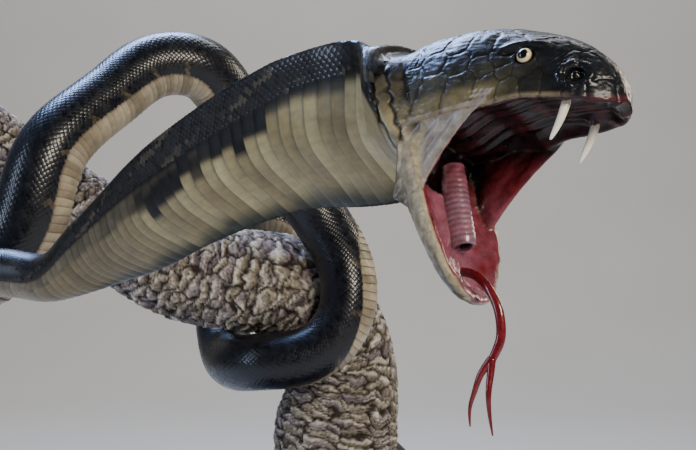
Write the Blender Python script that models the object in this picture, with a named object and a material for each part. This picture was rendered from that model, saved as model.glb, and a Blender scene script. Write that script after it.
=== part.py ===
"""King cobra striking from a branch, as a still, life-size display model.

Metres, +Z up. The origin is the middle of the underside of the display base.
The snake's spine is one smooth curve, the route, from the nape to the tail tip.
Its last turns are a helix wound round the lower branch.
Every length of the body is a loft of rings along that curve. The head, the lower
jaw and the cheeks are lofts in a frame of their own at the jaw's hinge.
"""
import math

import bmesh
import bpy
import numpy as np

# Gap that touching pieces keep, and how much a cutter is grown to leave it
GAP = 0.0003
GROWTH = 0.00042

# Head: size, place of the midpoint between the jaw hinges, and how it is turned
HEAD_LENGTH = 0.084
HEAD_PLACE = (0.0382, -0.5520, 0.5388)
HEAD_YAW = math.radians(-38.0)
HEAD_PITCH = math.radians(2.6)
HEAD_ROLL = math.radians(-18.5)
HEAD_BACK = -0.002
LIP_CORNER = 0.0345
SNOUT_START = 0.051
TIP_HEIGHT = 0.0048
PALATE_DEPTH = 0.0055
LIP_THICKNESS = 0.0028
# Distance ahead of the hinge, height of the crown over the lips, half width
HEAD_FORM = (
    (-0.004, 0.0372, 0.0262),
    (0.012, 0.0384, 0.0270),
    (0.024, 0.0386, 0.0268),
    (0.040, 0.0370, 0.0247),
    (0.052, 0.0338, 0.0222),
    (0.066, 0.0302, 0.0205),
    (0.074, 0.0280, 0.0200),
    (0.084, 0.0260, 0.0198),
)
HEAD_RINGS = 26
HEAD_SIDES = 24

# Lower jaw: hinge in the head's frame, how far it is open, length
HINGE = (0.002, 0.0, -0.008)
GAPE = math.radians(67.5)
JAW_LENGTH = 0.0705
JAW_BACK = -0.007
JAW_TIP_START = 0.040
JAW_TROUGH = 0.0055
JAW_LIP = 0.0042
JAW_LEFT_RISE = 0.0045
# Distance ahead of the hinge, depth under the lips, half width
JAW_FORM = (
    (-0.007, 0.0110, 0.0215),
    (0.004, 0.0150, 0.0240),
    (0.020, 0.0154, 0.0256),
    (0.040, 0.0126, 0.0250),
    (0.055, 0.0102, 0.0230),
    (0.072, 0.0092, 0.0215),
)
JAW_RINGS = 20

# Cheeks: the skin that closes the corner of the mouth, seen from its side. The
# front edge runs from the top place to the low one, further forward on the left.
CHEEK_TOP = (0.0338, -0.0035)
CHEEK_LOW = (0.0118, -0.0335)
LEFT_CHEEK_REACH = 0.0085
CHEEK_HOLLOW = 0.0022
CHEEK_WALL = 0.0022
CHEEK_HEIGHTS = (0.004, -0.038)
CHEEK_HALF_WIDTH = 0.0256
CHEEK_NARROWING = 0.0030
THROAT_WALL = 0.0075
THROAT_SHARE = 0.2
THROAT_TAPER = 0.004

# Eyes, nostrils and fangs, in the head's frame: ahead, to the side, up
EYE_RADIUS = 0.0034
EYE_PLACE = (0.0492, 0.0204, 0.0175)
NOSTRIL_PLACE = (0.0692, 0.0172, 0.0090)
NOSTRIL_SIZE = (0.0034, 0.0050, 0.0032)
FANG_ROOT = (0.0645, 0.0122, 0.0022)
FANG_LENGTH = 0.0165
FANG_WIDTH = 0.0017
FANG_SWEEP = 0.0050

# Windpipe, in the jaw's frame: ahead, to the side, up
WINDPIPE_ROUTE = (
    (0.0105, 0.0, 0.0032),
    (0.022, 0.0, 0.0014),
    (0.034, 0.0, 0.0002),
    (0.0465, 0.0, -0.0005),
)
WINDPIPE_RADIUS = 0.0060

# Tongue, from the floor of the mouth over the chin and down to its two tips
TONGUE_STALK = (
    (0.0449, -0.5815, 0.4818),
    (0.0498, -0.5900, 0.4800),
    (0.0540, -0.5970, 0.4743),
    (0.0563, -0.6000, 0.4685),
    (0.0572, -0.6010, 0.4626),
    (0.0569, -0.6010, 0.4566),
    (0.0548, -0.6010, 0.4514),
    (0.0531, -0.6010, 0.4480),
)
TONGUE_TINES = (
    (
        (0.0538, -0.6010, 0.4500),
        (0.0494, -0.6000, 0.4431),
        (0.0475, -0.5990, 0.4371),
        (0.0460, -0.5980, 0.4315),
        (0.0460, -0.5980, 0.4240),
    ),
    (
        (0.0538, -0.6010, 0.4500),
        (0.0531, -0.6020, 0.4435),
        (0.0524, -0.6030, 0.4383),
        (0.0524, -0.6030, 0.4330),
        (0.0539, -0.6030, 0.4214),
    ),
)
TONGUE_WIDTH = 0.0019
TINE_WIDTH = 0.0009

# The route of the spine, nape to the back of the trunk, and the way the belly faces
ROUTE = (
    ((0.0371, -0.5500, 0.5430), (-0.16, -0.28, -0.95)),
    ((0.0172, -0.5220, 0.5455), (-0.66, -0.58, -0.45)),
    ((-0.0037, -0.5000, 0.5440), (-0.66, -0.60, -0.42)),
    ((-0.0284, -0.4730, 0.5405), (-0.58, -0.62, -0.47)),
    ((-0.0617, -0.4380, 0.5291), (-0.53, -0.60, -0.47)),
    ((-0.0973, -0.3980, 0.5120), (-0.52, -0.58, -0.50)),
    ((-0.1265, -0.3600, 0.4948), (-0.50, -0.56, -0.55)),
    ((-0.1540, -0.3280, 0.4813), (-0.45, -0.52, -0.65)),
    ((-0.1900, -0.2940, 0.4668), (-0.35, -0.45, -0.80)),
    ((-0.2224, -0.2700, 0.4690), (-0.20, -0.35, -0.90)),
    ((-0.2540, -0.2590, 0.4655), (0.00, -0.20, -1.00)),
    ((-0.2840, -0.2545, 0.4625), (0.10, -0.10, -1.00)),
    ((-0.3090, -0.2420, 0.4605), (0.20, -0.05, -0.97)),
    ((-0.3190, -0.2170, 0.4595), (0.25, 0.00, -0.96)),
    ((-0.3090, -0.1925, 0.4590), (0.30, 0.00, -0.95)),
    ((-0.2850, -0.1810, 0.4605), (0.40, 0.00, -0.90)),
    ((-0.2600, -0.1800, 0.4680), (0.60, -0.05, -0.80)),
    ((-0.2415, -0.1825, 0.4845), (0.80, 0.00, -0.55)),
    ((-0.2295, -0.1842, 0.5060), (0.92, 0.00, -0.35)),
    ((-0.2225, -0.1828, 0.5310), (0.93, -0.08, -0.32)),
    ((-0.2146, -0.1770, 0.5546), (0.85, -0.15, -0.45)),
    ((-0.2013, -0.1650, 0.5738), (0.70, -0.25, -0.65)),
    ((-0.1752, -0.1400, 0.6009), (0.50, -0.35, -0.80)),
    ((-0.1523, -0.1220, 0.6214), (0.20, -0.35, -0.90)),
    ((-0.1305, -0.1120, 0.6258), (-0.05, -0.38, -0.92)),
    ((-0.1136, -0.1030, 0.6215), (-0.35, -0.40, -0.85)),
    ((-0.1008, -0.0900, 0.6080), (-0.50, -0.35, -0.80)),
    ((-0.0739, -0.0650, 0.5722), (-0.55, -0.10, -0.80)),
    ((-0.0423, -0.0350, 0.5330), (0.00, 0.62, -0.60)),
    ((-0.0197, -0.0300, 0.5000), (0.62, 0.60, 0.00)),
    ((-0.0008, -0.0398, 0.4622), (0.96, -0.20, 0.10)),
    ((-0.0025, -0.0435, 0.4225), (0.95, -0.15, -0.10)),
    ((-0.0300, -0.0425, 0.3920), (0.50, 0.35, -0.75)),
    ((-0.0690, -0.0345, 0.3845), (-0.10, 0.80, -0.50)),
    ((-0.1045, 0.0200, 0.3815), (-0.20, 0.60, -0.75)),
    ((-0.1190, 0.0700, 0.4180), (-0.75, 0.30, -0.30)),
    ((-0.1200, 0.0860, 0.4610), (-0.80, -0.40, 0.00)),
    ((-0.1030, 0.0940, 0.4930), (-0.30, -0.80, -0.30)),
    ((-0.0740, 0.1000, 0.5000), (0.00, -0.90, -0.45)),
    ((-0.0500, 0.1060, 0.4790), (0.00, -0.95, -0.20)),
    ((-0.0400, 0.1130, 0.4400), (0.00, -1.00, 0.00)),
    ((-0.0350, 0.1210, 0.3950), (0.00, -1.00, 0.00)),
    ((-0.0290, 0.1280, 0.3500), (0.00, -1.00, 0.00)),
)

# Coils round the trunk: how far along the route they start and how high, the height
# a quarter turn later, the drop of one turn, and how many turns there are to the tip
COIL_START = 1.650
COIL_START_HEIGHT = 0.306
COIL_SIDE_HEIGHT = 0.237
COIL_PITCH = 0.0535
COIL_CLEARANCE = 0.0024
COIL_STEP = math.radians(30.0)
COIL_TURNS = 3.35
COIL_TIGHTENING = 0.0045

# The snake's girth: distance along the route, half width, half height above the
# spine line, half height below it, half thickness of the hood's spread ribs
GIRTH = (
    (0.000, 0.0360, 0.0335, 0.0195, 0.0150),
    (0.012, 0.0375, 0.0330, 0.0180, 0.0110),
    (0.020, 0.0380, 0.0362, 0.0170, 0.0095),
    (0.030, 0.0385, 0.0312, 0.0160, 0.0080),
    (0.055, 0.0400, 0.0220, 0.0135, 0.0058),
    (0.080, 0.0395, 0.0188, 0.0127, 0.0050),
    (0.110, 0.0372, 0.0178, 0.0125, 0.0050),
    (0.150, 0.0345, 0.0175, 0.0125, 0.0050),
    (0.205, 0.0318, 0.0170, 0.0135, 0.0056),
    (0.255, 0.0285, 0.0165, 0.0145, 0.0075),
    (0.300, 0.0235, 0.0160, 0.0150, 0.0110),
    (0.345, 0.0165, 0.0155, 0.0150, 0.0150),
    (0.390, 0.0160, 0.0160, 0.0154, 0.0157),
    (0.440, 0.0185, 0.0185, 0.0178, 0.0182),
    (0.500, 0.0225, 0.0225, 0.0216, 0.0220),
    (0.560, 0.0265, 0.0265, 0.0254, 0.0260),
    (0.620, 0.0285, 0.0285, 0.0272, 0.0278),
    (0.680, 0.0277, 0.0277, 0.0264, 0.0270),
    (0.740, 0.0250, 0.0250, 0.0240, 0.0245),
    (0.800, 0.0252, 0.0252, 0.0242, 0.0247),
    (1.000, 0.0248, 0.0248, 0.0238, 0.0243),
    (1.900, 0.0247, 0.0247, 0.0237, 0.0242),
    (2.250, 0.0222, 0.0222, 0.0213, 0.0217),
    (2.550, 0.0175, 0.0175, 0.0168, 0.0171),
    (2.750, 0.0125, 0.0125, 0.0120, 0.0122),
    (2.950, 0.0075, 0.0075, 0.0072, 0.0073),
    (3.128, 0.0020, 0.0020, 0.0020, 0.0020),
)
HOOD_CORE = 0.021
NAPE_LENGTH = 0.036
THROAT_DEPTH = 0.010
HOOD_END = 0.300
BODY_LENGTHS = 12
VENT = 2.60
TAIL_LENGTHS = 2
HOOD_SIDES = 24
BODY_SIDES = 12

# Belly scutes: how far apart they are, how high the rear edge of each stands, the
# length of that edge, how far across the belly they reach, and their share of a thin tail
HOOD_SCUTE_PITCH = 0.0091
BODY_SCUTE_PITCH = 0.0206
SCUTE_RISE = 0.0012
SCUTE_STEP = 0.0010
SCUTE_EDGE = 0.92
SCUTE_SHARE = 0.06

# The branch: its middle line, cut foot to cut tip, and its radius there
BRANCH_ROUTE = (
    ((-0.0110, 0.0500, 0.0800), 0.050),
    ((-0.0110, 0.0500, 0.2000), 0.050),
    ((-0.0110, 0.0500, 0.2550), 0.051),
    ((-0.0110, 0.0500, 0.3120), 0.057),
    ((-0.0040, 0.0480, 0.3670), 0.049),
    ((-0.0210, 0.0350, 0.4170), 0.048),
    ((-0.0536, 0.0100, 0.4450), 0.046),
    ((-0.0945, 0.0000, 0.4520), 0.045),
    ((-0.1463, -0.0050, 0.4616), 0.044),
    ((-0.1976, -0.0100, 0.4887), 0.038),
    ((-0.2472, -0.0200, 0.5300), 0.030),
    ((-0.2958, -0.0300, 0.5722), 0.024),
    ((-0.3320, -0.0350, 0.6020), 0.022),
)
BRANCH_SIDES = 18
BRANCH_RING_STEP = 0.018
BARK_RIDGE = 0.0011

# The display stand
BASE_SIZE = (0.46, 0.40, 0.020)
BASE_ROUNDING = 0.003
ROD_RADIUS = 0.009
ROD_SPACING = 0.056
ROD_SIDES = 24

# Colours as sRGB, roughness
COLOURS = {
    "dark_scales": ((0.055, 0.060, 0.085), 0.28),
    "belly": ((0.62, 0.56, 0.45), 0.42),
    "flesh": ((0.45, 0.10, 0.12), 0.30),
    "pale_skin": ((0.62, 0.58, 0.54), 0.45),
    "tongue": ((0.42, 0.02, 0.04), 0.35),
    "ivory": ((0.88, 0.83, 0.68), 0.30),
    "eye": ((0.80, 0.70, 0.42), 0.10),
    "bark": ((0.36, 0.31, 0.26), 0.90),
    "stand": ((0.07, 0.07, 0.075), 0.50),
    "steel": ((0.60, 0.60, 0.62), 0.30),
}


def clear_scene():
    """Remove whatever the scene holds before modelling."""
    for thing in list(bpy.data.objects):
        bpy.data.objects.remove(thing, do_unlink=True)


def srgb_to_linear(channel):
    """One sRGB channel as linear light."""
    if channel <= 0.04045:
        return channel / 12.92
    return ((channel + 0.055) / 1.055) ** 2.4


def material(name):
    """A plain material with the named colour and roughness."""
    found = bpy.data.materials.get(name)
    if found:
        return found
    colour, roughness = COLOURS[name]
    made = bpy.data.materials.new(name)
    made.use_nodes = True
    shader = made.node_tree.nodes["Principled BSDF"]
    linear = [srgb_to_linear(channel) for channel in colour]
    shader.inputs["Base Color"].default_value = (*linear, 1.0)
    shader.inputs["Roughness"].default_value = roughness
    shader.inputs["Metallic"].default_value = 1.0 if name == "steel" else 0.0
    return made


def unit(vector):
    """The vector at length one, or each row of an array of them."""
    vector = np.asarray(vector, dtype=float)
    return vector / np.linalg.norm(vector, axis=-1, keepdims=True)


def smooth_step(low, high, value):
    """0 below low, 1 above high, eased between."""
    t = np.clip((np.asarray(value, dtype=float) - low) / (high - low), 0.0, 1.0)
    return t * t * (3.0 - 2.0 * t)


def eased(knots, values, at):
    """Cubic through the values, with slopes read from their neighbours."""
    knots = np.asarray(knots, dtype=float)
    values = np.asarray(values, dtype=float)
    slopes = np.gradient(values, knots, axis=0)
    at = np.clip(np.asarray(at, dtype=float), knots[0], knots[-1])
    cell = np.clip(np.searchsorted(knots, at, side="right") - 1, 0, len(knots) - 2)
    span = knots[cell + 1] - knots[cell]
    t = (at - knots[cell]) / span
    if values.ndim > 1:
        t = t[..., None]
        span = span[..., None]
    start = values[cell] * (1 + 2 * t) * (1 - t) ** 2
    end = values[cell + 1] * t * t * (3 - 2 * t)
    bend = slopes[cell] * t * (1 - t) ** 2 - slopes[cell + 1] * t * t * (1 - t)
    return start + end + bend * span


def spline(knots, values, at):
    """Natural cubic spline through the values, of smooth curvature."""
    knots = np.asarray(knots, dtype=float)
    values = np.asarray(values, dtype=float)
    count = len(knots)
    span = np.diff(knots)
    matrix = np.eye(count)
    right = np.zeros_like(values)
    for i in range(1, count - 1):
        matrix[i, i - 1] = span[i - 1]
        matrix[i, i] = 2.0 * (span[i - 1] + span[i])
        matrix[i, i + 1] = span[i]
        rise = (values[i + 1] - values[i]) / span[i]
        fall = (values[i] - values[i - 1]) / span[i - 1]
        right[i] = 6.0 * (rise - fall)
    second = np.linalg.solve(matrix, right)
    at = np.clip(np.asarray(at, dtype=float), knots[0], knots[-1])
    cell = np.clip(np.searchsorted(knots, at, side="right") - 1, 0, count - 2)
    width = span[cell][:, None]
    b = (at - knots[cell])[:, None] / width
    a = 1.0 - b
    bend = ((a ** 3 - a) * second[cell] + (b ** 3 - b) * second[cell + 1]) * width ** 2 / 6.0
    return a * values[cell] + b * values[cell + 1] + bend


class Track:
    """A smooth line through places in space, walked by its length."""

    def __init__(self, places, step=0.001):
        places = np.asarray(places, dtype=float)
        chords = np.linalg.norm(np.diff(places, axis=0), axis=1)
        self.knots = np.concatenate([[0.0], np.cumsum(chords)])
        count = int(self.knots[-1] / step) + 2
        self.fine = np.linspace(0.0, self.knots[-1], count)
        self.line = spline(self.knots, places, self.fine)
        steps = np.linalg.norm(np.diff(self.line, axis=0), axis=1)
        self.walked = np.concatenate([[0.0], np.cumsum(steps)])
        self.length = self.walked[-1]
        slope = np.gradient(self.line, self.walked, axis=0)
        self.heading = unit(slope)

    def place(self, at):
        """Point of the line at a distance along it."""
        return np.stack([np.interp(at, self.walked, self.line[:, i]) for i in range(3)], axis=-1)

    def forward(self, at):
        """Heading of the line at a distance along it."""
        rows = [np.interp(at, self.walked, self.heading[:, i]) for i in range(3)]
        return unit(np.stack(rows, axis=-1))

    def along_knots(self, values, at):
        """Values given at the places, carried along the line."""
        knot_walk = np.interp(self.knots, self.fine, self.walked)
        return eased(knot_walk, values, at)


def girth_at(at):
    """Half width, half heights above and below, and rib thickness of the snake."""
    table = np.array(GIRTH)
    return eased(table[:, 0], table[:, 1:], np.atleast_1d(at))


def coil_places():
    """Places and belly directions of the coils that go down round the trunk."""
    trunk = np.array(BRANCH_ROUTE[0][0][:2])
    places = []
    turns = np.arange(0.0, 2.0 * math.pi * COIL_TURNS, COIL_STEP)
    walked = COIL_START
    for turn in turns:
        settle = min(turn / (math.pi / 2.0), 1.0)
        drop = COIL_START_HEIGHT - COIL_SIDE_HEIGHT
        height = COIL_START_HEIGHT - drop * math.sin(settle * math.pi / 2.0)
        late = max(turn - math.pi / 2.0, 0.0) / (2.0 * math.pi)
        girth = girth_at(walked)[0, 0]
        height -= COIL_PITCH * late - COIL_TIGHTENING * max(late - 1.0, 0.0) ** 2
        bark = trunk_radius(height)
        reach = bark + girth + COIL_CLEARANCE
        side = np.array([math.sin(turn), math.cos(turn), 0.0])
        places.append(((trunk[0] + reach * side[0], trunk[1] + reach * side[1], height), tuple(-side)))
        walked += reach * COIL_STEP
    return places


def trunk_radius(height):
    """Radius of the upright part of the branch at a height, with its bark."""
    heights = [row[0][2] for row in BRANCH_ROUTE[:6]]
    radii = [row[1] for row in BRANCH_ROUTE[:6]]
    return float(eased(heights, radii, [height])[0]) + BARK_RIDGE


def snake_route():
    """The whole spine line, and the way the belly faces at each of its places."""
    rows = list(ROUTE) + coil_places()
    track = Track([row[0] for row in rows])
    return track, unit(np.array([row[1] for row in rows]))


def frames_along(track, bellies, at):
    """Point, side and up directions of the body at distances along the route."""
    at = np.atleast_1d(at)
    points = track.place(at)
    tailward = track.forward(at)
    belly = track.along_knots(bellies, at)
    belly = belly - (belly * tailward).sum(-1, keepdims=True) * tailward
    up = -unit(belly)
    left = np.cross(up, -tailward)
    return points, left, up


def nape_ring(at, turn):
    """The outline of the back of the head, carried back from it by a distance."""
    table = np.array(HEAD_FORM)
    crown, half_width = eased(table[:, 0], table[:, 1:], np.array([HEAD_BACK]))[0]
    lip = head_lip(HEAD_BACK)
    across = np.sign(np.cos(turn)) * np.abs(np.cos(turn)) ** (2.0 / 3.0) * half_width
    over = lip + np.abs(np.sin(turn)) ** (2.0 / 2.8) * (crown - lip)
    under = lip - np.abs(np.sin(turn)) ** (2.0 / 2.2) * THROAT_DEPTH
    rise = np.where(np.sin(turn) > 0.0, over, under)
    return from_head(np.stack([np.full(len(turn), HEAD_BACK - GAP - at), across, rise], axis=-1))


def body_ring(track, bellies, at, sides, scute=0.0):
    """One ring of skin: the hood's spread ribs, or the round body. The belly side
    stands out by the scute's height there."""
    points, left, up = frames_along(track, bellies, at)
    half_width, above, below, rib = girth_at(at)[0]
    turn = 2.0 * math.pi * (np.arange(sides) + 0.5) / sides
    across = np.cos(turn)
    dorsal = np.sin(turn) > 0.0
    height = np.where(dorsal, above, below)
    core = np.exp(-(half_width * across / HOOD_CORE) ** 2)
    is_round = smooth_step(0.0, 0.004, half_width - np.maximum(above, HOOD_CORE))
    edge = np.minimum(rib, height)
    profile = edge + (height - edge) * core
    profile = profile * is_round + height * (1.0 - is_round)
    rise = np.sign(np.sin(turn)) * np.sqrt(1.0 - across ** 2) * profile
    plate = min(scute, SCUTE_SHARE * below) * smooth_step(SCUTE_EDGE, SCUTE_EDGE - 0.35, np.abs(across))
    rise -= np.where(dorsal, 0.0, plate)
    ring = points + (half_width * across)[:, None] * left + rise[:, None] * up
    if at >= NAPE_LENGTH:
        return ring
    axes = head_axes()
    twist = math.atan2(left[0] @ axes[:, 2], left[0] @ axes[:, 1])
    nape = nape_ring(at, turn + twist)
    return nape + (ring - nape) * (1.0 - (1.0 - at / NAPE_LENGTH) ** 2)


def head_axes():
    """Forward, left and up of the head as columns."""
    forward = np.array([
        math.cos(HEAD_YAW) * math.cos(HEAD_PITCH),
        math.sin(HEAD_YAW) * math.cos(HEAD_PITCH),
        math.sin(HEAD_PITCH),
    ])
    level = np.array([-math.sin(HEAD_YAW), math.cos(HEAD_YAW), 0.0])
    over = np.cross(forward, level)
    left = level * math.cos(HEAD_ROLL) + over * math.sin(HEAD_ROLL)
    return np.stack([forward, left, np.cross(forward, left)], axis=1)


def from_head(points):
    """Points of the head's frame in the model's."""
    return np.asarray(points, dtype=float) @ head_axes().T + np.array(HEAD_PLACE)


def from_jaw(points):
    """Points of the lower jaw's frame in the head's."""
    points = np.asarray(points, dtype=float)
    along = np.array([math.cos(GAPE), 0.0, -math.sin(GAPE)])
    inward = np.array([math.sin(GAPE), 0.0, math.cos(GAPE)])
    side = np.array([0.0, 1.0, 0.0])
    return points @ np.stack([along, side, inward]) + np.array(HINGE)


def head_lip(ahead):
    """Height of the lip line at a distance ahead of the hinge."""
    tuck = np.clip((ahead - HEAD_LENGTH + 0.006) / 0.0061, 0.0, 1.0)
    lip = TIP_HEIGHT * (1.0 - math.sqrt(1.0 - tuck ** 2))
    slope = (LIP_CORNER - ahead) / (LIP_CORNER - HINGE[0])
    return lip - 0.003 * smooth_step(0.050, LIP_CORNER, ahead) - 0.005 * max(slope, 0.0)


def head_section(ahead):
    """Ring of the upper head: over the crown from lip to lip, back along the palate."""
    table = np.array(HEAD_FORM)
    crown, half_width = eased(table[:, 0], table[:, 1:], np.array([ahead]))[0]
    snout = np.clip((ahead - SNOUT_START) / (HEAD_LENGTH + 0.0002 - SNOUT_START), 0.0, 1.0)
    crown *= (1.0 - snout ** 2.6) ** (1.0 / 2.6)
    half_width *= (1.0 - snout ** 2.2) ** (1.0 / 2.2)
    lip = head_lip(ahead)
    crown = max(crown, lip + 0.0006)
    turn = np.linspace(0.0, math.pi, HEAD_SIDES - 7)
    side = np.sign(np.cos(turn)) * np.abs(np.cos(turn)) ** (2.0 / 3.0)
    over = np.sin(turn) ** (2.0 / 2.8)
    outer = np.stack([side * half_width, lip + over * (crown - lip)], axis=-1)
    brow = 0.0012 * math.exp(-((ahead - EYE_PLACE[0] - 0.001) / 0.007) ** 2)
    lift = np.exp(-((outer[:, 1] - EYE_PLACE[2] - 0.0062) / 0.0030) ** 2)
    outer[:, 0] += brow * lift * np.sign(outer[:, 0])
    hollow = smooth_step(0.014, 0.030, ahead) * smooth_step(HEAD_LENGTH - 0.002, HEAD_LENGTH - 0.012, ahead)
    wall = min(LIP_THICKNESS, half_width * 0.3)
    inner_side = np.linspace(-1.0, 1.0, 7) * (half_width - wall)
    arch = 1.0 - np.linspace(-1.0, 1.0, 7) ** 4
    floor = lip - 0.0002 + hollow * PALATE_DEPTH * arch
    inner = np.stack([inner_side, floor], axis=-1)
    ring = np.concatenate([outer, inner])
    return np.stack([np.full(len(ring), ahead), ring[:, 0], ring[:, 1]], axis=-1)


def jaw_section(ahead):
    """Ring of the lower jaw: under the chin from lip to lip, back along the floor."""
    table = np.array(JAW_FORM)
    depth, half_width = eased(table[:, 0], table[:, 1:], np.array([ahead]))[0]
    tip = np.clip((ahead - JAW_TIP_START) / (JAW_LENGTH + 0.0002 - JAW_TIP_START), 0.0, 1.0)
    depth *= (1.0 - tip ** 3.0) ** (1.0 / 3.0)
    half_width *= (1.0 - tip ** 2.5) ** (1.0 / 2.5)
    turn = np.linspace(0.0, math.pi, 15)
    side = np.sign(np.cos(turn)) * np.abs(np.cos(turn)) ** (2.0 / 2.6)
    under = np.sin(turn) ** (2.0 / 2.4)
    outer = np.stack([-side * half_width, -under * depth], axis=-1)
    hollow = smooth_step(-0.002, 0.010, ahead) * smooth_step(JAW_LENGTH - 0.001, JAW_LENGTH - 0.012, ahead)
    wall = min(JAW_LIP, half_width * 0.35)
    inner_side = np.linspace(1.0, -1.0, 7) * (half_width - wall)
    trough = 1.0 - np.linspace(1.0, -1.0, 7) ** 4
    floor = 0.0004 - hollow * min(JAW_TROUGH, depth * 0.6) * trough
    inner = np.stack([inner_side, floor], axis=-1)
    ring = np.concatenate([outer, inner])
    rise = JAW_LEFT_RISE * smooth_step(-0.002, 0.014, ahead) * smooth_step(JAW_LENGTH, 0.036, ahead)
    ring[:, 1] += rise * smooth_step(0.25, 0.9, ring[:, 0] / half_width)
    return np.stack([np.full(len(ring), ahead), ring[:, 0], ring[:, 1]], axis=-1)


def mesh_object(name, points, faces, material_name):
    """An object from points and faces, as triangles turned outward."""
    mesh = bpy.data.meshes.new(name)
    mesh.from_pydata([tuple(point) for point in points], [], faces)
    work = bmesh.new()
    work.from_mesh(mesh)
    bmesh.ops.triangulate(work, faces=work.faces)
    bmesh.ops.recalc_face_normals(work, faces=work.faces)
    work.to_mesh(mesh)
    work.free()
    mesh.shade_smooth()
    mesh.set_sharp_from_angle(angle=math.radians(30.0))
    mesh.materials.append(material(material_name))
    made = bpy.data.objects.new(name, mesh)
    bpy.context.scene.collection.objects.link(made)
    return made


def loft(name, rings, material_name):
    """A closed solid through rings of the same number of points."""
    rings = [np.asarray(ring) for ring in rings]
    sides = len(rings[0])
    points = np.concatenate(rings)
    faces = []
    for r in range(len(rings) - 1):
        for k in range(sides):
            after = (k + 1) % sides
            low = r * sides
            high = low + sides
            faces.append((low + k, low + after, high + after, high + k))
    last = (len(rings) - 1) * sides
    faces.append(tuple(range(sides)))
    faces.append(tuple(last + k for k in range(sides)))
    return mesh_object(name, points, faces, material_name)


def grown_copy(source, distance=GROWTH):
    """A slightly larger copy of a solid, used to cut its neighbours clear of it."""
    mesh = source.data.copy()
    work = bmesh.new()
    work.from_mesh(mesh)
    work.normal_update()
    shifts = [vertex.normal * distance * min(vertex.calc_shell_factor(), 2.5) for vertex in work.verts]
    for vertex, shift in zip(work.verts, shifts):
        vertex.co += shift
    work.to_mesh(mesh)
    work.free()
    copy = bpy.data.objects.new("cutter_" + source.name, mesh)
    bpy.context.scene.collection.objects.link(copy)
    copy.hide_render = True
    copy.display_type = "WIRE"
    return copy


def apply_modifiers(target):
    """Make the shape that the modifiers give the object's own mesh."""
    graph = bpy.context.evaluated_depsgraph_get()
    result = bpy.data.meshes.new_from_object(target.evaluated_get(graph))
    target.modifiers.clear()
    target.data = result


def keep_largest(target):
    """Keep only the largest closed surface of the object's mesh."""
    work = bmesh.new()
    work.from_mesh(target.data)
    waiting = set(work.faces)
    groups = []
    while waiting:
        start = waiting.pop()
        group = [start]
        queue = [start]
        while queue:
            face = queue.pop()
            for edge in face.edges:
                for other in edge.link_faces:
                    if other in waiting:
                        waiting.remove(other)
                        group.append(other)
                        queue.append(other)
        groups.append(group)
    groups.sort(key=lambda group: sum(face.calc_area() for face in group))
    for group in groups[:-1]:
        bmesh.ops.delete(work, geom=group, context="FACES")
    bmesh.ops.remove_doubles(work, verts=work.verts, dist=0.00002)
    work.to_mesh(target.data)
    work.free()


def cut_clear(target, neighbours):
    """Cut the object clear of its neighbours by the gap."""
    cutters = [grown_copy(neighbour) for neighbour in neighbours]
    for cutter in cutters:
        modifier = target.modifiers.new("clear", "BOOLEAN")
        modifier.operation = "DIFFERENCE"
        modifier.solver = "EXACT"
        modifier.object = cutter
    apply_modifiers(target)
    for cutter in cutters:
        bpy.data.objects.remove(cutter, do_unlink=True)
    keep_largest(target)


def tube(name, places, radii, sides, material_name):
    """A tapering round tube through places in the model's frame."""
    track = Track(places, step=0.0005)
    stops = np.linspace(0.0, track.length, len(radii))
    rings = []
    guide = np.array([0.3, 0.9, 0.2])
    for stop, radius in zip(stops, radii):
        centre = track.place(np.array([stop]))[0]
        heading = track.forward(np.array([stop]))[0]
        side = unit(np.cross(heading, guide))
        over = np.cross(heading, side)
        turn = 2.0 * math.pi * np.arange(sides) / sides
        rings.append(centre + radius * (np.cos(turn)[:, None] * side + np.sin(turn)[:, None] * over))
    return loft(name, rings, material_name)


def ball(name, centre, radius, material_name):
    """A round ball."""
    mesh = bpy.data.meshes.new(name)
    work = bmesh.new()
    bmesh.ops.create_uvsphere(work, u_segments=12, v_segments=8, radius=radius)
    for vertex in work.verts:
        vertex.co += type(vertex.co)(tuple(centre))
    work.to_mesh(mesh)
    work.free()
    mesh.shade_smooth()
    mesh.materials.append(material(material_name))
    made = bpy.data.objects.new(name, mesh)
    bpy.context.scene.collection.objects.link(made)
    return made


def pit(centre, size):
    """An egg-shaped cutter for a nostril, in the head's frame."""
    made = ball("cutter_pit", (0.0, 0.0, 0.0), 1.0, "flesh")
    for vertex in made.data.vertices:
        local = np.array(vertex.co) * np.array(size) + np.array(centre)
        vertex.co = tuple(from_head([local])[0])
    made.hide_render = True
    made.display_type = "WIRE"
    return made


def build_head():
    """Skull and snout with lips, brow, eye sockets and nostrils, and the two eyes."""
    ease = np.linspace(0.0, 1.0, HEAD_RINGS)
    ahead = HEAD_BACK + (HEAD_LENGTH - HEAD_BACK) * (1.0 - (1.0 - ease) ** 1.7)
    head = loft("head", [from_head(head_section(x)) for x in ahead], "dark_scales")
    eyes = []
    cutters = []
    for side, name in ((-1.0, "eye_right"), (1.0, "eye_left")):
        place = from_head([(EYE_PLACE[0], side * EYE_PLACE[1], EYE_PLACE[2])])[0]
        eyes.append(ball(name, place, EYE_RADIUS, "eye"))
        cutters.append(pit((NOSTRIL_PLACE[0], side * NOSTRIL_PLACE[1], NOSTRIL_PLACE[2]), NOSTRIL_SIZE))
    for cutter in cutters:
        modifier = head.modifiers.new("nostril", "BOOLEAN")
        modifier.operation = "DIFFERENCE"
        modifier.solver = "EXACT"
        modifier.object = cutter
    apply_modifiers(head)
    for cutter in cutters:
        bpy.data.objects.remove(cutter, do_unlink=True)
    cut_clear(head, eyes)
    return head


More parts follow.
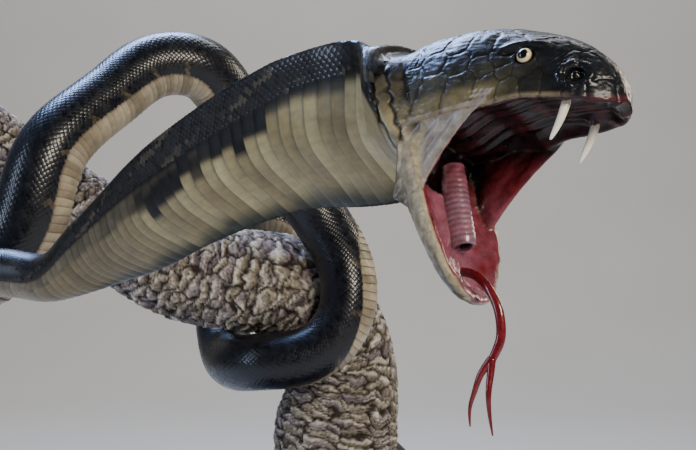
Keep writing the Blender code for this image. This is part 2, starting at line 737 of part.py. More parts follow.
def build_fangs(head):
    """Two curved fangs hanging from the front of the palate."""
    fangs = []
    for side, name in ((-1.0, "fang_right"), (1.0, "fang_left")):
        places = []
        for part in np.linspace(0.0, 1.0, 5):
            ahead = FANG_ROOT[0] - FANG_SWEEP * part ** 1.6
            places.append((ahead, side * FANG_ROOT[1], FANG_ROOT[2] - FANG_LENGTH * part))
        radii = FANG_WIDTH * (1.0 - np.linspace(0.0, 1.0, 7) ** 1.6) + 0.00015
        fang = tube(name, from_head(places), radii, 8, "ivory")
        fangs.append(fang)
    for fang in fangs:
        cut_clear(fang, [head])
    return fangs


def build_lower_jaw(head):
    """The lower jaw, an inverted shell with a trough between its lips."""
    ease = np.linspace(0.0, 1.0, JAW_RINGS)
    ahead = JAW_BACK + (JAW_LENGTH - JAW_BACK) * (1.0 - (1.0 - ease) ** 1.5)
    rings = [from_head(from_jaw(jaw_section(x))) for x in ahead]
    jaw = loft("lower_jaw", rings, "pale_skin")
    cut_clear(jaw, [head])
    return jaw


def build_cheeks(head, jaw):
    """Skin that closes the corners of the mouth, with the back of the throat. Each
    level is a U seen from above: right cheek, back of the throat, left cheek."""
    walk = np.linspace(-0.5, 0.5, 9)
    side = np.clip(walk / THROAT_SHARE, -1.0, 1.0)
    reach = np.clip((np.abs(walk) - THROAT_SHARE) / (0.5 - THROAT_SHARE), 0.0, 1.0)
    back = HEAD_BACK + 0.0001
    inner_back = back + THROAT_WALL
    sections = []
    for level in np.linspace(*CHEEK_HEIGHTS, 10):
        part = (level - CHEEK_TOP[1]) / (CHEEK_LOW[1] - CHEEK_TOP[1])
        below = np.clip(part, 0.0, 1.0)
        front = CHEEK_TOP[0] + (CHEEK_LOW[0] - CHEEK_TOP[0]) * part
        front -= CHEEK_HOLLOW * 4.0 * below * (1.0 - below)
        fronts = front + LEFT_CHEEK_REACH * np.maximum(side, 0.0)
        half_width = CHEEK_HALF_WIDTH - CHEEK_NARROWING * below
        outer = np.stack([back + (fronts - back) * reach, side * half_width], axis=-1)
        inner_ahead = np.maximum(inner_back + (fronts - inner_back) * reach, inner_back)
        inner_side = side * (half_width - CHEEK_WALL - THROAT_TAPER * (1.0 - reach))
        inner = np.stack([inner_ahead, inner_side], axis=-1)
        ring = np.concatenate([outer, inner[::-1]])
        sections.append(np.stack([ring[:, 0], ring[:, 1], np.full(len(ring), level)], axis=-1))
    cheeks = loft("cheeks", [from_head(section) for section in sections], "flesh")
    cut_clear(cheeks, [head, jaw])
    return cheeks


def build_mouth_parts(jaw, cheeks):
    """The windpipe's opening and the forked tongue."""
    radii = WINDPIPE_RADIUS * np.array([0.75, 0.95, 1.0, 1.02, 0.96, 0.70])
    windpipe = tube("windpipe", from_head(from_jaw(WINDPIPE_ROUTE)), radii, 14, "flesh")
    cut_clear(windpipe, [jaw, cheeks])
    stalk = tube("tongue", TONGUE_STALK, np.full(14, TONGUE_WIDTH), 8, "tongue")
    shrink = np.linspace(0.0, 1.0, 10)
    radii = TONGUE_WIDTH * 0.72 * (1.0 - shrink) + TINE_WIDTH * 0.5 * shrink
    tines = [tube("tine", route, radii, 7, "tongue") for route in TONGUE_TINES]
    join_pieces(stalk, tines)
    cut_clear(stalk, [jaw])
    return [windpipe, stalk]


def join_pieces(target, pieces):
    """Fuse pieces into the target as one closed body."""
    for piece in pieces:
        modifier = target.modifiers.new("join", "BOOLEAN")
        modifier.operation = "UNION"
        modifier.solver = "EXACT"
        modifier.object = piece
    apply_modifiers(target)
    for piece in pieces:
        bpy.data.objects.remove(piece, do_unlink=True)
    keep_largest(target)


def length_rings(track, bellies, start, end, pitch, sides):
    """Rings of one length of the body, with its end faces half a gap short. Each belly
    scute has two, at its front edge and at its raised rear edge."""
    count = max(int(round((end - start) / pitch)), 3)
    stops = np.linspace(start + GAP / 2.0, end - GAP / 2.0, count + 1)
    rings = []
    for front, rear in zip(stops[:-1], stops[1:]):
        rings.append(body_ring(track, bellies, front, sides))
        rings.append(body_ring(track, bellies, rear - SCUTE_STEP, sides, SCUTE_RISE))
    rings.append(body_ring(track, bellies, stops[-1], sides))
    return rings


def build_body(track, bellies, front_pieces):
    """Hood, body lengths and tail, one after another down the route."""
    hood = loft("hood", length_rings(track, bellies, 0.0, HOOD_END, HOOD_SCUTE_PITCH, HOOD_SIDES), "belly")
    cut_clear(hood, front_pieces)
    marks = np.linspace(HOOD_END, VENT, BODY_LENGTHS + 1)
    for i in range(BODY_LENGTHS):
        rings = length_rings(track, bellies, marks[i], marks[i + 1], BODY_SCUTE_PITCH, BODY_SIDES)
        loft("body_%02d" % (i + 1), rings, "dark_scales")
    marks = np.linspace(VENT, track.length - 0.001, TAIL_LENGTHS + 1)
    for i in range(TAIL_LENGTHS):
        rings = length_rings(track, bellies, marks[i], marks[i + 1], BODY_SCUTE_PITCH, BODY_SIDES)
        loft("tail_%d" % (i + 1), rings, "dark_scales")


def build_branch():
    """The cut length of branch that the snake grips, foot to tip."""
    track = Track([row[0] for row in BRANCH_ROUTE])
    radii = np.array([row[1] for row in BRANCH_ROUTE])
    count = int(track.length / BRANCH_RING_STEP)
    stops = np.linspace(0.0, track.length, count + 1)
    side = np.array([1.0, 0.0, 0.0])
    rings = []
    for stop in stops:
        centre = track.place(np.array([stop]))[0]
        heading = track.forward(np.array([stop]))[0]
        side = unit(side - heading * (side @ heading))
        over = np.cross(heading, side)
        turn = 2.0 * math.pi * np.arange(BRANCH_SIDES) / BRANCH_SIDES
        radius = track.along_knots(radii, np.array([stop]))[0]
        ridge = np.sin(5.0 * turn + stop * 24.0) * np.sin(stop * 97.0 + 2.0 * turn)
        reach = radius + BARK_RIDGE * ridge
        rings.append(centre + reach[:, None] * (np.cos(turn)[:, None] * side + np.sin(turn)[:, None] * over))
    return loft("branch", rings, "bark")


def build_stand():
    """Flat base and two short rods up to the foot of the branch."""
    mesh = bpy.data.meshes.new("stand_base")
    work = bmesh.new()
    bmesh.ops.create_cube(work, size=1.0)
    for vertex in work.verts:
        vertex.co.x *= BASE_SIZE[0]
        vertex.co.y *= BASE_SIZE[1]
        vertex.co.z = (vertex.co.z + 0.5) * BASE_SIZE[2]
    upright = [edge for edge in work.edges if abs(edge.verts[0].co.z - edge.verts[1].co.z) > 0.001]
    bmesh.ops.bevel(work, geom=upright, offset=0.02, segments=5, affect="EDGES", profile=0.5)
    top = [edge for edge in work.edges if min(v.co.z for v in edge.verts) > BASE_SIZE[2] - 1e-6]
    bmesh.ops.bevel(work, geom=top, offset=BASE_ROUNDING, segments=2, affect="EDGES", profile=0.5)
    work.to_mesh(mesh)
    work.free()
    mesh.materials.append(material("stand"))
    base = bpy.data.objects.new("stand_base", mesh)
    bpy.context.scene.collection.objects.link(base)
    foot = BRANCH_ROUTE[0][0]
    turn = 2.0 * math.pi * np.arange(ROD_SIDES) / ROD_SIDES
    for i, side in enumerate((-1.0, 1.0)):
        rings = []
        for height in (BASE_SIZE[2] + GAP, foot[2] - GAP):
            rings.append(np.stack([
                foot[0] + side * ROD_SPACING / 2.0 + ROD_RADIUS * np.cos(turn),
                foot[1] + ROD_RADIUS * np.sin(turn),
                np.full(ROD_SIDES, height),
            ], axis=-1))
        loft("stand_rod_%d" % (i + 1), rings, "steel")


def main():
    """Build the model."""
    clear_scene()
    track, bellies = snake_route()
    head = build_head()
    build_fangs(head)
    jaw = build_lower_jaw(head)
    cheeks = build_cheeks(head, jaw)
    build_mouth_parts(jaw, cheeks)
    build_body(track, bellies, [head, jaw, cheeks])
    build_branch()
    build_stand()


if __name__ == "__main__":
    main()
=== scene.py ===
"""King cobra striking from a branch: the dressed, life-size display model.

One skin covers the whole snake. Small keratin plates lie over it on the back and
sides, and wide scutes cross the belly. Eyes, fangs, windpipe and tongue are pieces
of their own. The bark is carved in plates, and the stand keeps its own shape.
Distances are metres, +Z is up, and the origin is under the middle of the base.
"""

import math

import bpy
import numpy as np
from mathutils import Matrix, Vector, noise
from mathutils.kdtree import KDTree


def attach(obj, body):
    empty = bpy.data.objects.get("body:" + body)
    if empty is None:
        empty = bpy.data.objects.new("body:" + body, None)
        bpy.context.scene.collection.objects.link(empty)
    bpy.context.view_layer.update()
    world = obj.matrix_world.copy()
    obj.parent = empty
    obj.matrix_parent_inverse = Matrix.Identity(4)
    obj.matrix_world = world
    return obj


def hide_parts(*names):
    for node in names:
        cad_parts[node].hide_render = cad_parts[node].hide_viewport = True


bl_info = {
    "name": "King Cobra Display Model",
    "version": (1, 0, 0),
    "blender": (4, 5, 0),
    "location": "3D View > Sidebar > Cobra",
    "description": "Builds the skin, scales, mouth, bark and stand of a life-size king cobra",
    "category": "Object",
}

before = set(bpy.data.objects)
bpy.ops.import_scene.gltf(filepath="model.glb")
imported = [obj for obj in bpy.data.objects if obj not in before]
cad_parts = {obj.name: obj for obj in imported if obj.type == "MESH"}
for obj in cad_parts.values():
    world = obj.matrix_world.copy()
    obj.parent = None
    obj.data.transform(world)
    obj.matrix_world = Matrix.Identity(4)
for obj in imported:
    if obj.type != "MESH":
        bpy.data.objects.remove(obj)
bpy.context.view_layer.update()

# Head: size, place of the midpoint between the jaw hinges, and how it is turned
HEAD_LENGTH = 0.084
HEAD_PLACE = (0.0382, -0.5520, 0.5388)
HEAD_YAW = math.radians(-38.0)
HEAD_PITCH = math.radians(2.6)
HEAD_ROLL = math.radians(-18.5)
HEAD_BACK = -0.002
LIP_CORNER = 0.0345
SNOUT_START = 0.051
TIP_HEIGHT = 0.0048
PALATE_DEPTH = 0.0055
LIP_THICKNESS = 0.0028
# Distance ahead of the hinge, height of the crown over the lips, half width
HEAD_FORM = (
    (-0.004, 0.0372, 0.0262),
    (0.012, 0.0384, 0.0270),
    (0.024, 0.0386, 0.0268),
    (0.040, 0.0370, 0.0247),
    (0.052, 0.0338, 0.0222),
    (0.066, 0.0302, 0.0205),
    (0.074, 0.0280, 0.0200),
    (0.084, 0.0260, 0.0198),
)

# Lower jaw: hinge in the head's frame, how far it is open, length
HINGE = (0.002, 0.0, -0.008)
GAPE = math.radians(67.5)
JAW_LENGTH = 0.0705
JAW_BACK = -0.007
JAW_TIP_START = 0.040
JAW_TROUGH = 0.0055
JAW_LIP = 0.0042
JAW_LEFT_RISE = 0.0045
# Distance ahead of the hinge, depth under the lips, half width
JAW_FORM = (
    (-0.007, 0.0110, 0.0215),
    (0.004, 0.0150, 0.0240),
    (0.020, 0.0154, 0.0256),
    (0.040, 0.0126, 0.0250),
    (0.055, 0.0102, 0.0230),
    (0.072, 0.0092, 0.0215),
)

# Cheeks: the skin that closes the corner of the mouth, seen from its side. The
# front edge runs from the top place to the low one, further forward on the left.
CHEEK_TOP = (0.0338, -0.0035)
CHEEK_LOW = (0.0118, -0.0335)
LEFT_CHEEK_REACH = 0.0085
CHEEK_HOLLOW = 0.0022
CHEEK_WALL = 0.0022
CHEEK_HEIGHTS = (0.004, -0.038)
CHEEK_HALF_WIDTH = 0.0256
CHEEK_NARROWING = 0.0030
THROAT_WALL = 0.0075
THROAT_SHARE = 0.2
THROAT_TAPER = 0.004

# Eyes, nostrils and fangs, in the head's frame: ahead, to the side, up
EYE_RADIUS = 0.0034
EYE_PLACE = (0.0492, 0.0204, 0.0175)
NOSTRIL_PLACE = (0.0692, 0.0172, 0.0090)
FANG_ROOT = (0.0645, 0.0122, 0.0022)
FANG_LENGTH = 0.0165
FANG_WIDTH = 0.0017
FANG_SWEEP = 0.0050

# Windpipe, in the jaw's frame: ahead, to the side, up
WINDPIPE_ROUTE = (
    (0.0105, 0.0, 0.0032),
    (0.022, 0.0, 0.0014),
    (0.034, 0.0, 0.0002),
    (0.0465, 0.0, -0.0005),
)
WINDPIPE_RADIUS = 0.0060

# Tongue, from the floor of the mouth over the chin and down to its two tips
TONGUE_STALK = (
    (0.0449, -0.5815, 0.4818),
    (0.0498, -0.5900, 0.4800),
    (0.0540, -0.5970, 0.4743),
    (0.0563, -0.6000, 0.4685),
    (0.0572, -0.6010, 0.4626),
    (0.0569, -0.6010, 0.4566),
    (0.0548, -0.6010, 0.4514),
    (0.0531, -0.6010, 0.4480),
)
TONGUE_TINES = (
    (
        (0.0538, -0.6010, 0.4500),
        (0.0494, -0.6000, 0.4431),
        (0.0475, -0.5990, 0.4371),
        (0.0460, -0.5980, 0.4315),
        (0.0460, -0.5980, 0.4240),
    ),
    (
        (0.0538, -0.6010, 0.4500),
        (0.0531, -0.6020, 0.4435),
        (0.0524, -0.6030, 0.4383),
        (0.0524, -0.6030, 0.4330),
        (0.0539, -0.6030, 0.4214),
    ),
)
TONGUE_WIDTH = 0.0019
TINE_WIDTH = 0.0009

# The route of the spine, nape to the back of the trunk, and the way the belly faces
ROUTE = (
    ((0.0371, -0.5500, 0.5430), (-0.16, -0.28, -0.95)),
    ((0.0172, -0.5220, 0.5455), (-0.66, -0.58, -0.45)),
    ((-0.0037, -0.5000, 0.5440), (-0.66, -0.60, -0.42)),
    ((-0.0284, -0.4730, 0.5405), (-0.58, -0.62, -0.47)),
    ((-0.0617, -0.4380, 0.5291), (-0.53, -0.60, -0.47)),
    ((-0.0973, -0.3980, 0.5120), (-0.52, -0.58, -0.50)),
    ((-0.1265, -0.3600, 0.4948), (-0.50, -0.56, -0.55)),
    ((-0.1540, -0.3280, 0.4813), (-0.45, -0.52, -0.65)),
    ((-0.1900, -0.2940, 0.4668), (-0.35, -0.45, -0.80)),
    ((-0.2224, -0.2700, 0.4690), (-0.20, -0.35, -0.90)),
    ((-0.2540, -0.2590, 0.4655), (0.00, -0.20, -1.00)),
    ((-0.2840, -0.2545, 0.4625), (0.10, -0.10, -1.00)),
    ((-0.3090, -0.2420, 0.4605), (0.20, -0.05, -0.97)),
    ((-0.3190, -0.2170, 0.4595), (0.25, 0.00, -0.96)),
    ((-0.3090, -0.1925, 0.4590), (0.30, 0.00, -0.95)),
    ((-0.2850, -0.1810, 0.4605), (0.40, 0.00, -0.90)),
    ((-0.2600, -0.1800, 0.4680), (0.60, -0.05, -0.80)),
    ((-0.2415, -0.1825, 0.4845), (0.80, 0.00, -0.55)),
    ((-0.2295, -0.1842, 0.5060), (0.92, 0.00, -0.35)),
    ((-0.2225, -0.1828, 0.5310), (0.93, -0.08, -0.32)),
    ((-0.2146, -0.1770, 0.5546), (0.85, -0.15, -0.45)),
    ((-0.2013, -0.1650, 0.5738), (0.70, -0.25, -0.65)),
    ((-0.1752, -0.1400, 0.6009), (0.50, -0.35, -0.80)),
    ((-0.1523, -0.1220, 0.6214), (0.20, -0.35, -0.90)),
    ((-0.1305, -0.1120, 0.6258), (-0.05, -0.38, -0.92)),
    ((-0.1136, -0.1030, 0.6215), (-0.35, -0.40, -0.85)),
    ((-0.1008, -0.0900, 0.6080), (-0.50, -0.35, -0.80)),
    ((-0.0739, -0.0650, 0.5722), (-0.55, -0.10, -0.80)),
    ((-0.0423, -0.0350, 0.5330), (0.00, 0.62, -0.60)),
    ((-0.0197, -0.0300, 0.5000), (0.62, 0.60, 0.00)),
    ((-0.0008, -0.0398, 0.4622), (0.96, -0.20, 0.10)),
    ((-0.0025, -0.0435, 0.4225), (0.95, -0.15, -0.10)),
    ((-0.0300, -0.0425, 0.3920), (0.50, 0.35, -0.75)),
    ((-0.0690, -0.0345, 0.3845), (-0.10, 0.80, -0.50)),
    ((-0.1045, 0.0200, 0.3815), (-0.20, 0.60, -0.75)),
    ((-0.1190, 0.0700, 0.4180), (-0.75, 0.30, -0.30)),
    ((-0.1200, 0.0860, 0.4610), (-0.80, -0.40, 0.00)),
    ((-0.1030, 0.0940, 0.4930), (-0.30, -0.80, -0.30)),
    ((-0.0740, 0.1000, 0.5000), (0.00, -0.90, -0.45)),
    ((-0.0500, 0.1060, 0.4790), (0.00, -0.95, -0.20)),
    ((-0.0400, 0.1130, 0.4400), (0.00, -1.00, 0.00)),
    ((-0.0350, 0.1210, 0.3950), (0.00, -1.00, 0.00)),
    ((-0.0290, 0.1280, 0.3500), (0.00, -1.00, 0.00)),
)

# Coils round the trunk: how far along the route they start and how high, the height
# a quarter turn later, the drop of one turn, and how many turns there are to the tip
COIL_START = 1.650
COIL_START_HEIGHT = 0.306
COIL_SIDE_HEIGHT = 0.237
COIL_PITCH = 0.0535
COIL_CLEARANCE = 0.0024
COIL_STEP = math.radians(30.0)
COIL_TURNS = 3.35
COIL_TIGHTENING = 0.0045

# The snake's girth: distance along the route, half width, half height above the
# spine line, half height below it, half thickness of the hood's spread ribs
GIRTH = (
    (0.000, 0.0360, 0.0335, 0.0195, 0.0150),
    (0.012, 0.0375, 0.0330, 0.0180, 0.0110),
    (0.020, 0.0380, 0.0362, 0.0170, 0.0095),
    (0.030, 0.0385, 0.0312, 0.0160, 0.0080),
    (0.055, 0.0400, 0.0220, 0.0135, 0.0058),
    (0.080, 0.0395, 0.0188, 0.0127, 0.0050),
    (0.110, 0.0372, 0.0178, 0.0125, 0.0050),
    (0.150, 0.0345, 0.0175, 0.0125, 0.0050),
    (0.205, 0.0318, 0.0170, 0.0135, 0.0056),
    (0.255, 0.0285, 0.0165, 0.0145, 0.0075),
    (0.300, 0.0235, 0.0160, 0.0150, 0.0110),
    (0.345, 0.0165, 0.0155, 0.0150, 0.0150),
    (0.390, 0.0160, 0.0160, 0.0154, 0.0157),
    (0.440, 0.0185, 0.0185, 0.0178, 0.0182),
    (0.500, 0.0225, 0.0225, 0.0216, 0.0220),
    (0.560, 0.0265, 0.0265, 0.0254, 0.0260),
    (0.620, 0.0285, 0.0285, 0.0272, 0.0278),
    (0.680, 0.0277, 0.0277, 0.0264, 0.0270),
    (0.740, 0.0250, 0.0250, 0.0240, 0.0245),
    (0.800, 0.0252, 0.0252, 0.0242, 0.0247),
    (1.000, 0.0248, 0.0248, 0.0238, 0.0243),
    (1.900, 0.0247, 0.0247, 0.0237, 0.0242),
    (2.250, 0.0222, 0.0222, 0.0213, 0.0217),
    (2.550, 0.0175, 0.0175, 0.0168, 0.0171),
    (2.750, 0.0125, 0.0125, 0.0120, 0.0122),
    (2.950, 0.0075, 0.0075, 0.0072, 0.0073),
    (3.128, 0.0020, 0.0020, 0.0020, 0.0020),
)
HOOD_CORE = 0.021
NAPE_LENGTH = 0.036
THROAT_DEPTH = 0.010

# The branch: its middle line, cut foot to cut tip, and its radius there
BRANCH_ROUTE = (
    ((-0.0110, 0.0500, 0.0800), 0.050),
    ((-0.0110, 0.0500, 0.2000), 0.050),
    ((-0.0110, 0.0500, 0.2550), 0.051),
    ((-0.0110, 0.0500, 0.3120), 0.057),
    ((-0.0040, 0.0480, 0.3670), 0.049),
    ((-0.0210, 0.0350, 0.4170), 0.048),
    ((-0.0536, 0.0100, 0.4450), 0.046),
    ((-0.0945, 0.0000, 0.4520), 0.045),
    ((-0.1463, -0.0050, 0.4616), 0.044),
    ((-0.1976, -0.0100, 0.4887), 0.038),
    ((-0.2472, -0.0200, 0.5300), 0.030),
    ((-0.2958, -0.0300, 0.5722), 0.024),
    ((-0.3320, -0.0350, 0.6020), 0.022),
)
BARK_RIDGE = 0.0011

# Gap that touching parts keep in the solids
GAP = 0.0003

# How many sides the windpipe, a fang and the bark have, and the windpipe's rings
WINDPIPE_SIDES = 64
WINDPIPE_RINGS = 15.0
FANG_SIDES = 28
BARK_SIDES = 240

# The skin's columns of points, where its rows lie wider apart, and the rows' spacing
SKIN_COLUMNS = 80
SKIN_WIDER_FROM = 0.46
SKIN_STEPS = (0.0020, 0.0032)

# Where the first back scales and scutes lie, where hood scutes hand over to body
# scutes, and the space left at the tail's tip
FIRST_SCALE = 0.012
FIRST_SCUTE = 0.010
SCUTE_CHANGE = 0.42
TAIL_SPACE = 0.004

# The camera: its place, the picture's width and the lens in the picture's pixels
CAMERA_PLACE = (0.0, -1.05, 0.5)
PICTURE_WIDTH = 696.0
LENS_PIXELS = 1200.0
SENSOR_WIDTH = 36.0

# Where the front of the skin, made in one with the head, hands over to the body
FRONT_END = 0.045

# Middle places of the head's plates, right side: ahead, to the side, up
HEAD_PLATES = (
    (0.0840, 0.0000, 0.0080), (0.0775, 0.0120, 0.0045), (0.0700, 0.0165, 0.0035), (0.0620, 0.0190, 0.0045),
    (0.0535, 0.0205, 0.0060), (0.0455, 0.0215, 0.0055), (0.0360, 0.0235, 0.0060), (0.0245, 0.0250, 0.0070),
    (0.0125, 0.0260, 0.0080), (0.0760, 0.0135, 0.0125), (0.0640, 0.0175, 0.0125), (0.0775, 0.0055, 0.0200),
    (0.0670, 0.0080, 0.0270), (0.0575, 0.0175, 0.0190), (0.0500, 0.0135, 0.0300), (0.0520, 0.0000, 0.0335),
    (0.0410, 0.0205, 0.0240), (0.0400, 0.0220, 0.0170), (0.0425, 0.0222, 0.0120), (0.0490, 0.0215, 0.0125),
    (0.0320, 0.0235, 0.0145), (0.0300, 0.0225, 0.0240), (0.0210, 0.0250, 0.0170), (0.0180, 0.0235, 0.0270),
    (0.0340, 0.0085, 0.0365), (0.0200, 0.0080, 0.0385), (0.0090, 0.0250, 0.0190), (0.0070, 0.0220, 0.0290),
    (0.0080, 0.0080, 0.0390), (0.0010, 0.0130, 0.0350), (0.0000, 0.0260, 0.0130), (-0.0030, 0.0250, 0.0230),
)

# Middle places of the lower jaw's plates, right side: ahead, to the side, up
JAW_PLATES = (
    (0.0700, 0.0000, -0.0040), (0.0660, 0.0110, -0.0030), (0.0600, 0.0180, -0.0030),
    (0.0520, 0.0220, -0.0030), (0.0430, 0.0245, -0.0030), (0.0340, 0.0250, -0.0035),
    (0.0240, 0.0250, -0.0040), (0.0140, 0.0245, -0.0045), (0.0040, 0.0240, -0.0050),
    (0.0580, 0.0080, -0.0090), (0.0440, 0.0090, -0.0120), (0.0500, 0.0180, -0.0090),
    (0.0380, 0.0190, -0.0110), (0.0280, 0.0200, -0.0120), (0.0300, 0.0080, -0.0150),
    (0.0170, 0.0190, -0.0130), (0.0150, 0.0070, -0.0155), (0.0050, 0.0180, -0.0130),
)

# Pale bars across the body: how far apart, and half their width
BAR_SPACING = 0.034
BAR_WIDTH = 0.0028

# Dark patches on the hood's face: distance along the spine, half their length there,
# and where they start and end across the belly band, -1 at its upper edge
HOOD_PATCHES = (
    (0.122, 0.031, -1.2, -0.66),
    (0.182, 0.034, -0.86, -0.42),
)

# Where the pale face of the hood starts across the belly band: distance, place
HOOD_FACE = (
    (0.0, -1.0), (0.05, -0.84), (0.095, -0.82), (0.12, -0.66), (0.206, -0.56), (0.26, -0.57),
    (0.32, -0.6),
)

# Thickness of a back scale and of a belly scute, and the branch's mean girth
SCALE_THICKNESS = 0.00078
SCUTE_THICKNESS = 0.0011
BARK_GIRTH = 0.27


def unit(vector):
    """The vector at length one, or each row of an array of them."""
    vector = np.asarray(vector, dtype=float)
    return vector / np.linalg.norm(vector, axis=-1, keepdims=True)


def smooth_step(low, high, value):
    """0 below low, 1 above high, eased between."""
    t = np.clip((np.asarray(value, dtype=float) - low) / (high - low), 0.0, 1.0)
    return t * t * (3.0 - 2.0 * t)


def eased(knots, values, at):
    """Cubic through the values, with slopes read from their neighbours."""
    knots = np.asarray(knots, dtype=float)
    values = np.asarray(values, dtype=float)
    slopes = np.gradient(values, knots, axis=0)
    at = np.clip(np.asarray(at, dtype=float), knots[0], knots[-1])
    cell = np.clip(np.searchsorted(knots, at, side="right") - 1, 0, len(knots) - 2)
    span = knots[cell + 1] - knots[cell]
    t = (at - knots[cell]) / span
    if values.ndim > 1:
        t = t[..., None]
        span = span[..., None]
    start = values[cell] * (1 + 2 * t) * (1 - t) ** 2
    end = values[cell + 1] * t * t * (3 - 2 * t)
    bend = slopes[cell] * t * (1 - t) ** 2 - slopes[cell + 1] * t * t * (1 - t)
    return start + end + bend * span


def spline(knots, values, at):
    """Natural cubic spline through the values, of smooth curvature."""
    knots = np.asarray(knots, dtype=float)
    values = np.asarray(values, dtype=float)
    count = len(knots)
    span = np.diff(knots)
    matrix = np.eye(count)
    right = np.zeros_like(values)
    for i in range(1, count - 1):
        matrix[i, i - 1] = span[i - 1]
        matrix[i, i] = 2.0 * (span[i - 1] + span[i])
        matrix[i, i + 1] = span[i]
        rise = (values[i + 1] - values[i]) / span[i]
        fall = (values[i] - values[i - 1]) / span[i - 1]
        right[i] = 6.0 * (rise - fall)
    second = np.linalg.solve(matrix, right)
    at = np.clip(np.asarray(at, dtype=float), knots[0], knots[-1])
    cell = np.clip(np.searchsorted(knots, at, side="right") - 1, 0, count - 2)
    width = span[cell][:, None]
    b = (at - knots[cell])[:, None] / width
    a = 1.0 - b
    bend = ((a ** 3 - a) * second[cell] + (b ** 3 - b) * second[cell + 1]) * width ** 2 / 6.0
    return a * values[cell] + b * values[cell + 1] + bend


class Track:
    """A smooth line through places in space, walked by its length."""

    def __init__(self, places, step=0.001):
        places = np.asarray(places, dtype=float)
        chords = np.linalg.norm(np.diff(places, axis=0), axis=1)
        self.knots = np.concatenate([[0.0], np.cumsum(chords)])
        count = int(self.knots[-1] / step) + 2
        self.fine = np.linspace(0.0, self.knots[-1], count)
        self.line = spline(self.knots, places, self.fine)
        steps = np.linalg.norm(np.diff(self.line, axis=0), axis=1)
        self.walked = np.concatenate([[0.0], np.cumsum(steps)])
        self.length = self.walked[-1]
        slope = np.gradient(self.line, self.walked, axis=0)
        self.heading = unit(slope)

    def place(self, at):
        """Point of the line at a distance along it."""
        return np.stack([np.interp(at, self.walked, self.line[:, i]) for i in range(3)], axis=-1)

    def forward(self, at):
        """Heading of the line at a distance along it."""
        rows = [np.interp(at, self.walked, self.heading[:, i]) for i in range(3)]
        return unit(np.stack(rows, axis=-1))

    def along_knots(self, values, at):
        """Values given at the places, carried along the line."""
        knot_walk = np.interp(self.knots, self.fine, self.walked)
        return eased(knot_walk, values, at)


def girth_at(at):
    """Half width, half heights above and below, and rib thickness of the snake."""
    table = np.array(GIRTH)
    return eased(table[:, 0], table[:, 1:], np.atleast_1d(at))


def coil_places():
    """Places and belly directions of the coils that go down round the trunk."""
    trunk = np.array(BRANCH_ROUTE[0][0][:2])
    places = []
    turns = np.arange(0.0, 2.0 * math.pi * COIL_TURNS, COIL_STEP)
    walked = COIL_START
    for turn in turns:
        settle = min(turn / (math.pi / 2.0), 1.0)
        drop = COIL_START_HEIGHT - COIL_SIDE_HEIGHT
        height = COIL_START_HEIGHT - drop * math.sin(settle * math.pi / 2.0)
        late = max(turn - math.pi / 2.0, 0.0) / (2.0 * math.pi)
        girth = girth_at(walked)[0, 0]
        height -= COIL_PITCH * late - COIL_TIGHTENING * max(late - 1.0, 0.0) ** 2
        bark = trunk_radius(height)
        reach = bark + girth + COIL_CLEARANCE
        side = np.array([math.sin(turn), math.cos(turn), 0.0])
        places.append(((trunk[0] + reach * side[0], trunk[1] + reach * side[1], height), tuple(-side)))
        walked += reach * COIL_STEP
    return places


def trunk_radius(height):
    """Radius of the upright part of the branch at a height, with its bark."""
    heights = [row[0][2] for row in BRANCH_ROUTE[:6]]
    radii = [row[1] for row in BRANCH_ROUTE[:6]]
    return float(eased(heights, radii, [height])[0]) + BARK_RIDGE


def snake_route():
    """The whole spine line, and the way the belly faces at each of its places."""
    rows = list(ROUTE) + coil_places()
    track = Track([row[0] for row in rows])
    return track, unit(np.array([row[1] for row in rows]))


def frames_along(track, bellies, at):
    """Point, side and up directions of the body at distances along the route."""
    at = np.atleast_1d(at)
    points = track.place(at)
    tailward = track.forward(at)
    belly = track.along_knots(bellies, at)
    belly = belly - (belly * tailward).sum(-1, keepdims=True) * tailward
    up = -unit(belly)
    left = np.cross(up, -tailward)
    return points, left, up


def head_axes():
    """Forward, left and up of the head as columns."""
    forward = np.array([
        math.cos(HEAD_YAW) * math.cos(HEAD_PITCH),
        math.sin(HEAD_YAW) * math.cos(HEAD_PITCH),
        math.sin(HEAD_PITCH),
    ])
    level = np.array([-math.sin(HEAD_YAW), math.cos(HEAD_YAW), 0.0])
    over = np.cross(forward, level)
    left = level * math.cos(HEAD_ROLL) + over * math.sin(HEAD_ROLL)
    return np.stack([forward, left, np.cross(forward, left)], axis=1)


def from_head(points):
    """Points of the head's frame in the model's."""
    return np.asarray(points, dtype=float) @ head_axes().T + np.array(HEAD_PLACE)


def from_jaw(points):
    """Points of the lower jaw's frame in the head's."""
    points = np.asarray(points, dtype=float)
    along = np.array([math.cos(GAPE), 0.0, -math.sin(GAPE)])
    inward = np.array([math.sin(GAPE), 0.0, math.cos(GAPE)])
    side = np.array([0.0, 1.0, 0.0])
    return points @ np.stack([along, side, inward]) + np.array(HINGE)


def head_lip(ahead):
    """Height of the lip line at a distance ahead of the hinge."""
    tuck = np.clip((ahead - HEAD_LENGTH + 0.006) / 0.0061, 0.0, 1.0)
    lip = TIP_HEIGHT * (1.0 - math.sqrt(1.0 - tuck ** 2))
    slope = (LIP_CORNER - ahead) / (LIP_CORNER - HINGE[0])
    return lip - 0.003 * smooth_step(0.050, LIP_CORNER, ahead) - 0.005 * max(slope, 0.0)


# How the coat lies: depth of the skin under it, columns of back scales from each
# distance on, length of a scale to its width, and distance between body scutes
COAT_DEPTH = 0.0010
SCALE_COLUMNS = ((0.0, 51), (1.95, 45), (2.45, 33), (2.78, 21), (3.00, 13))
SCALE_LENGTH_RATIO = 1.62
BELLY_SCUTE_PITCH = 0.0052

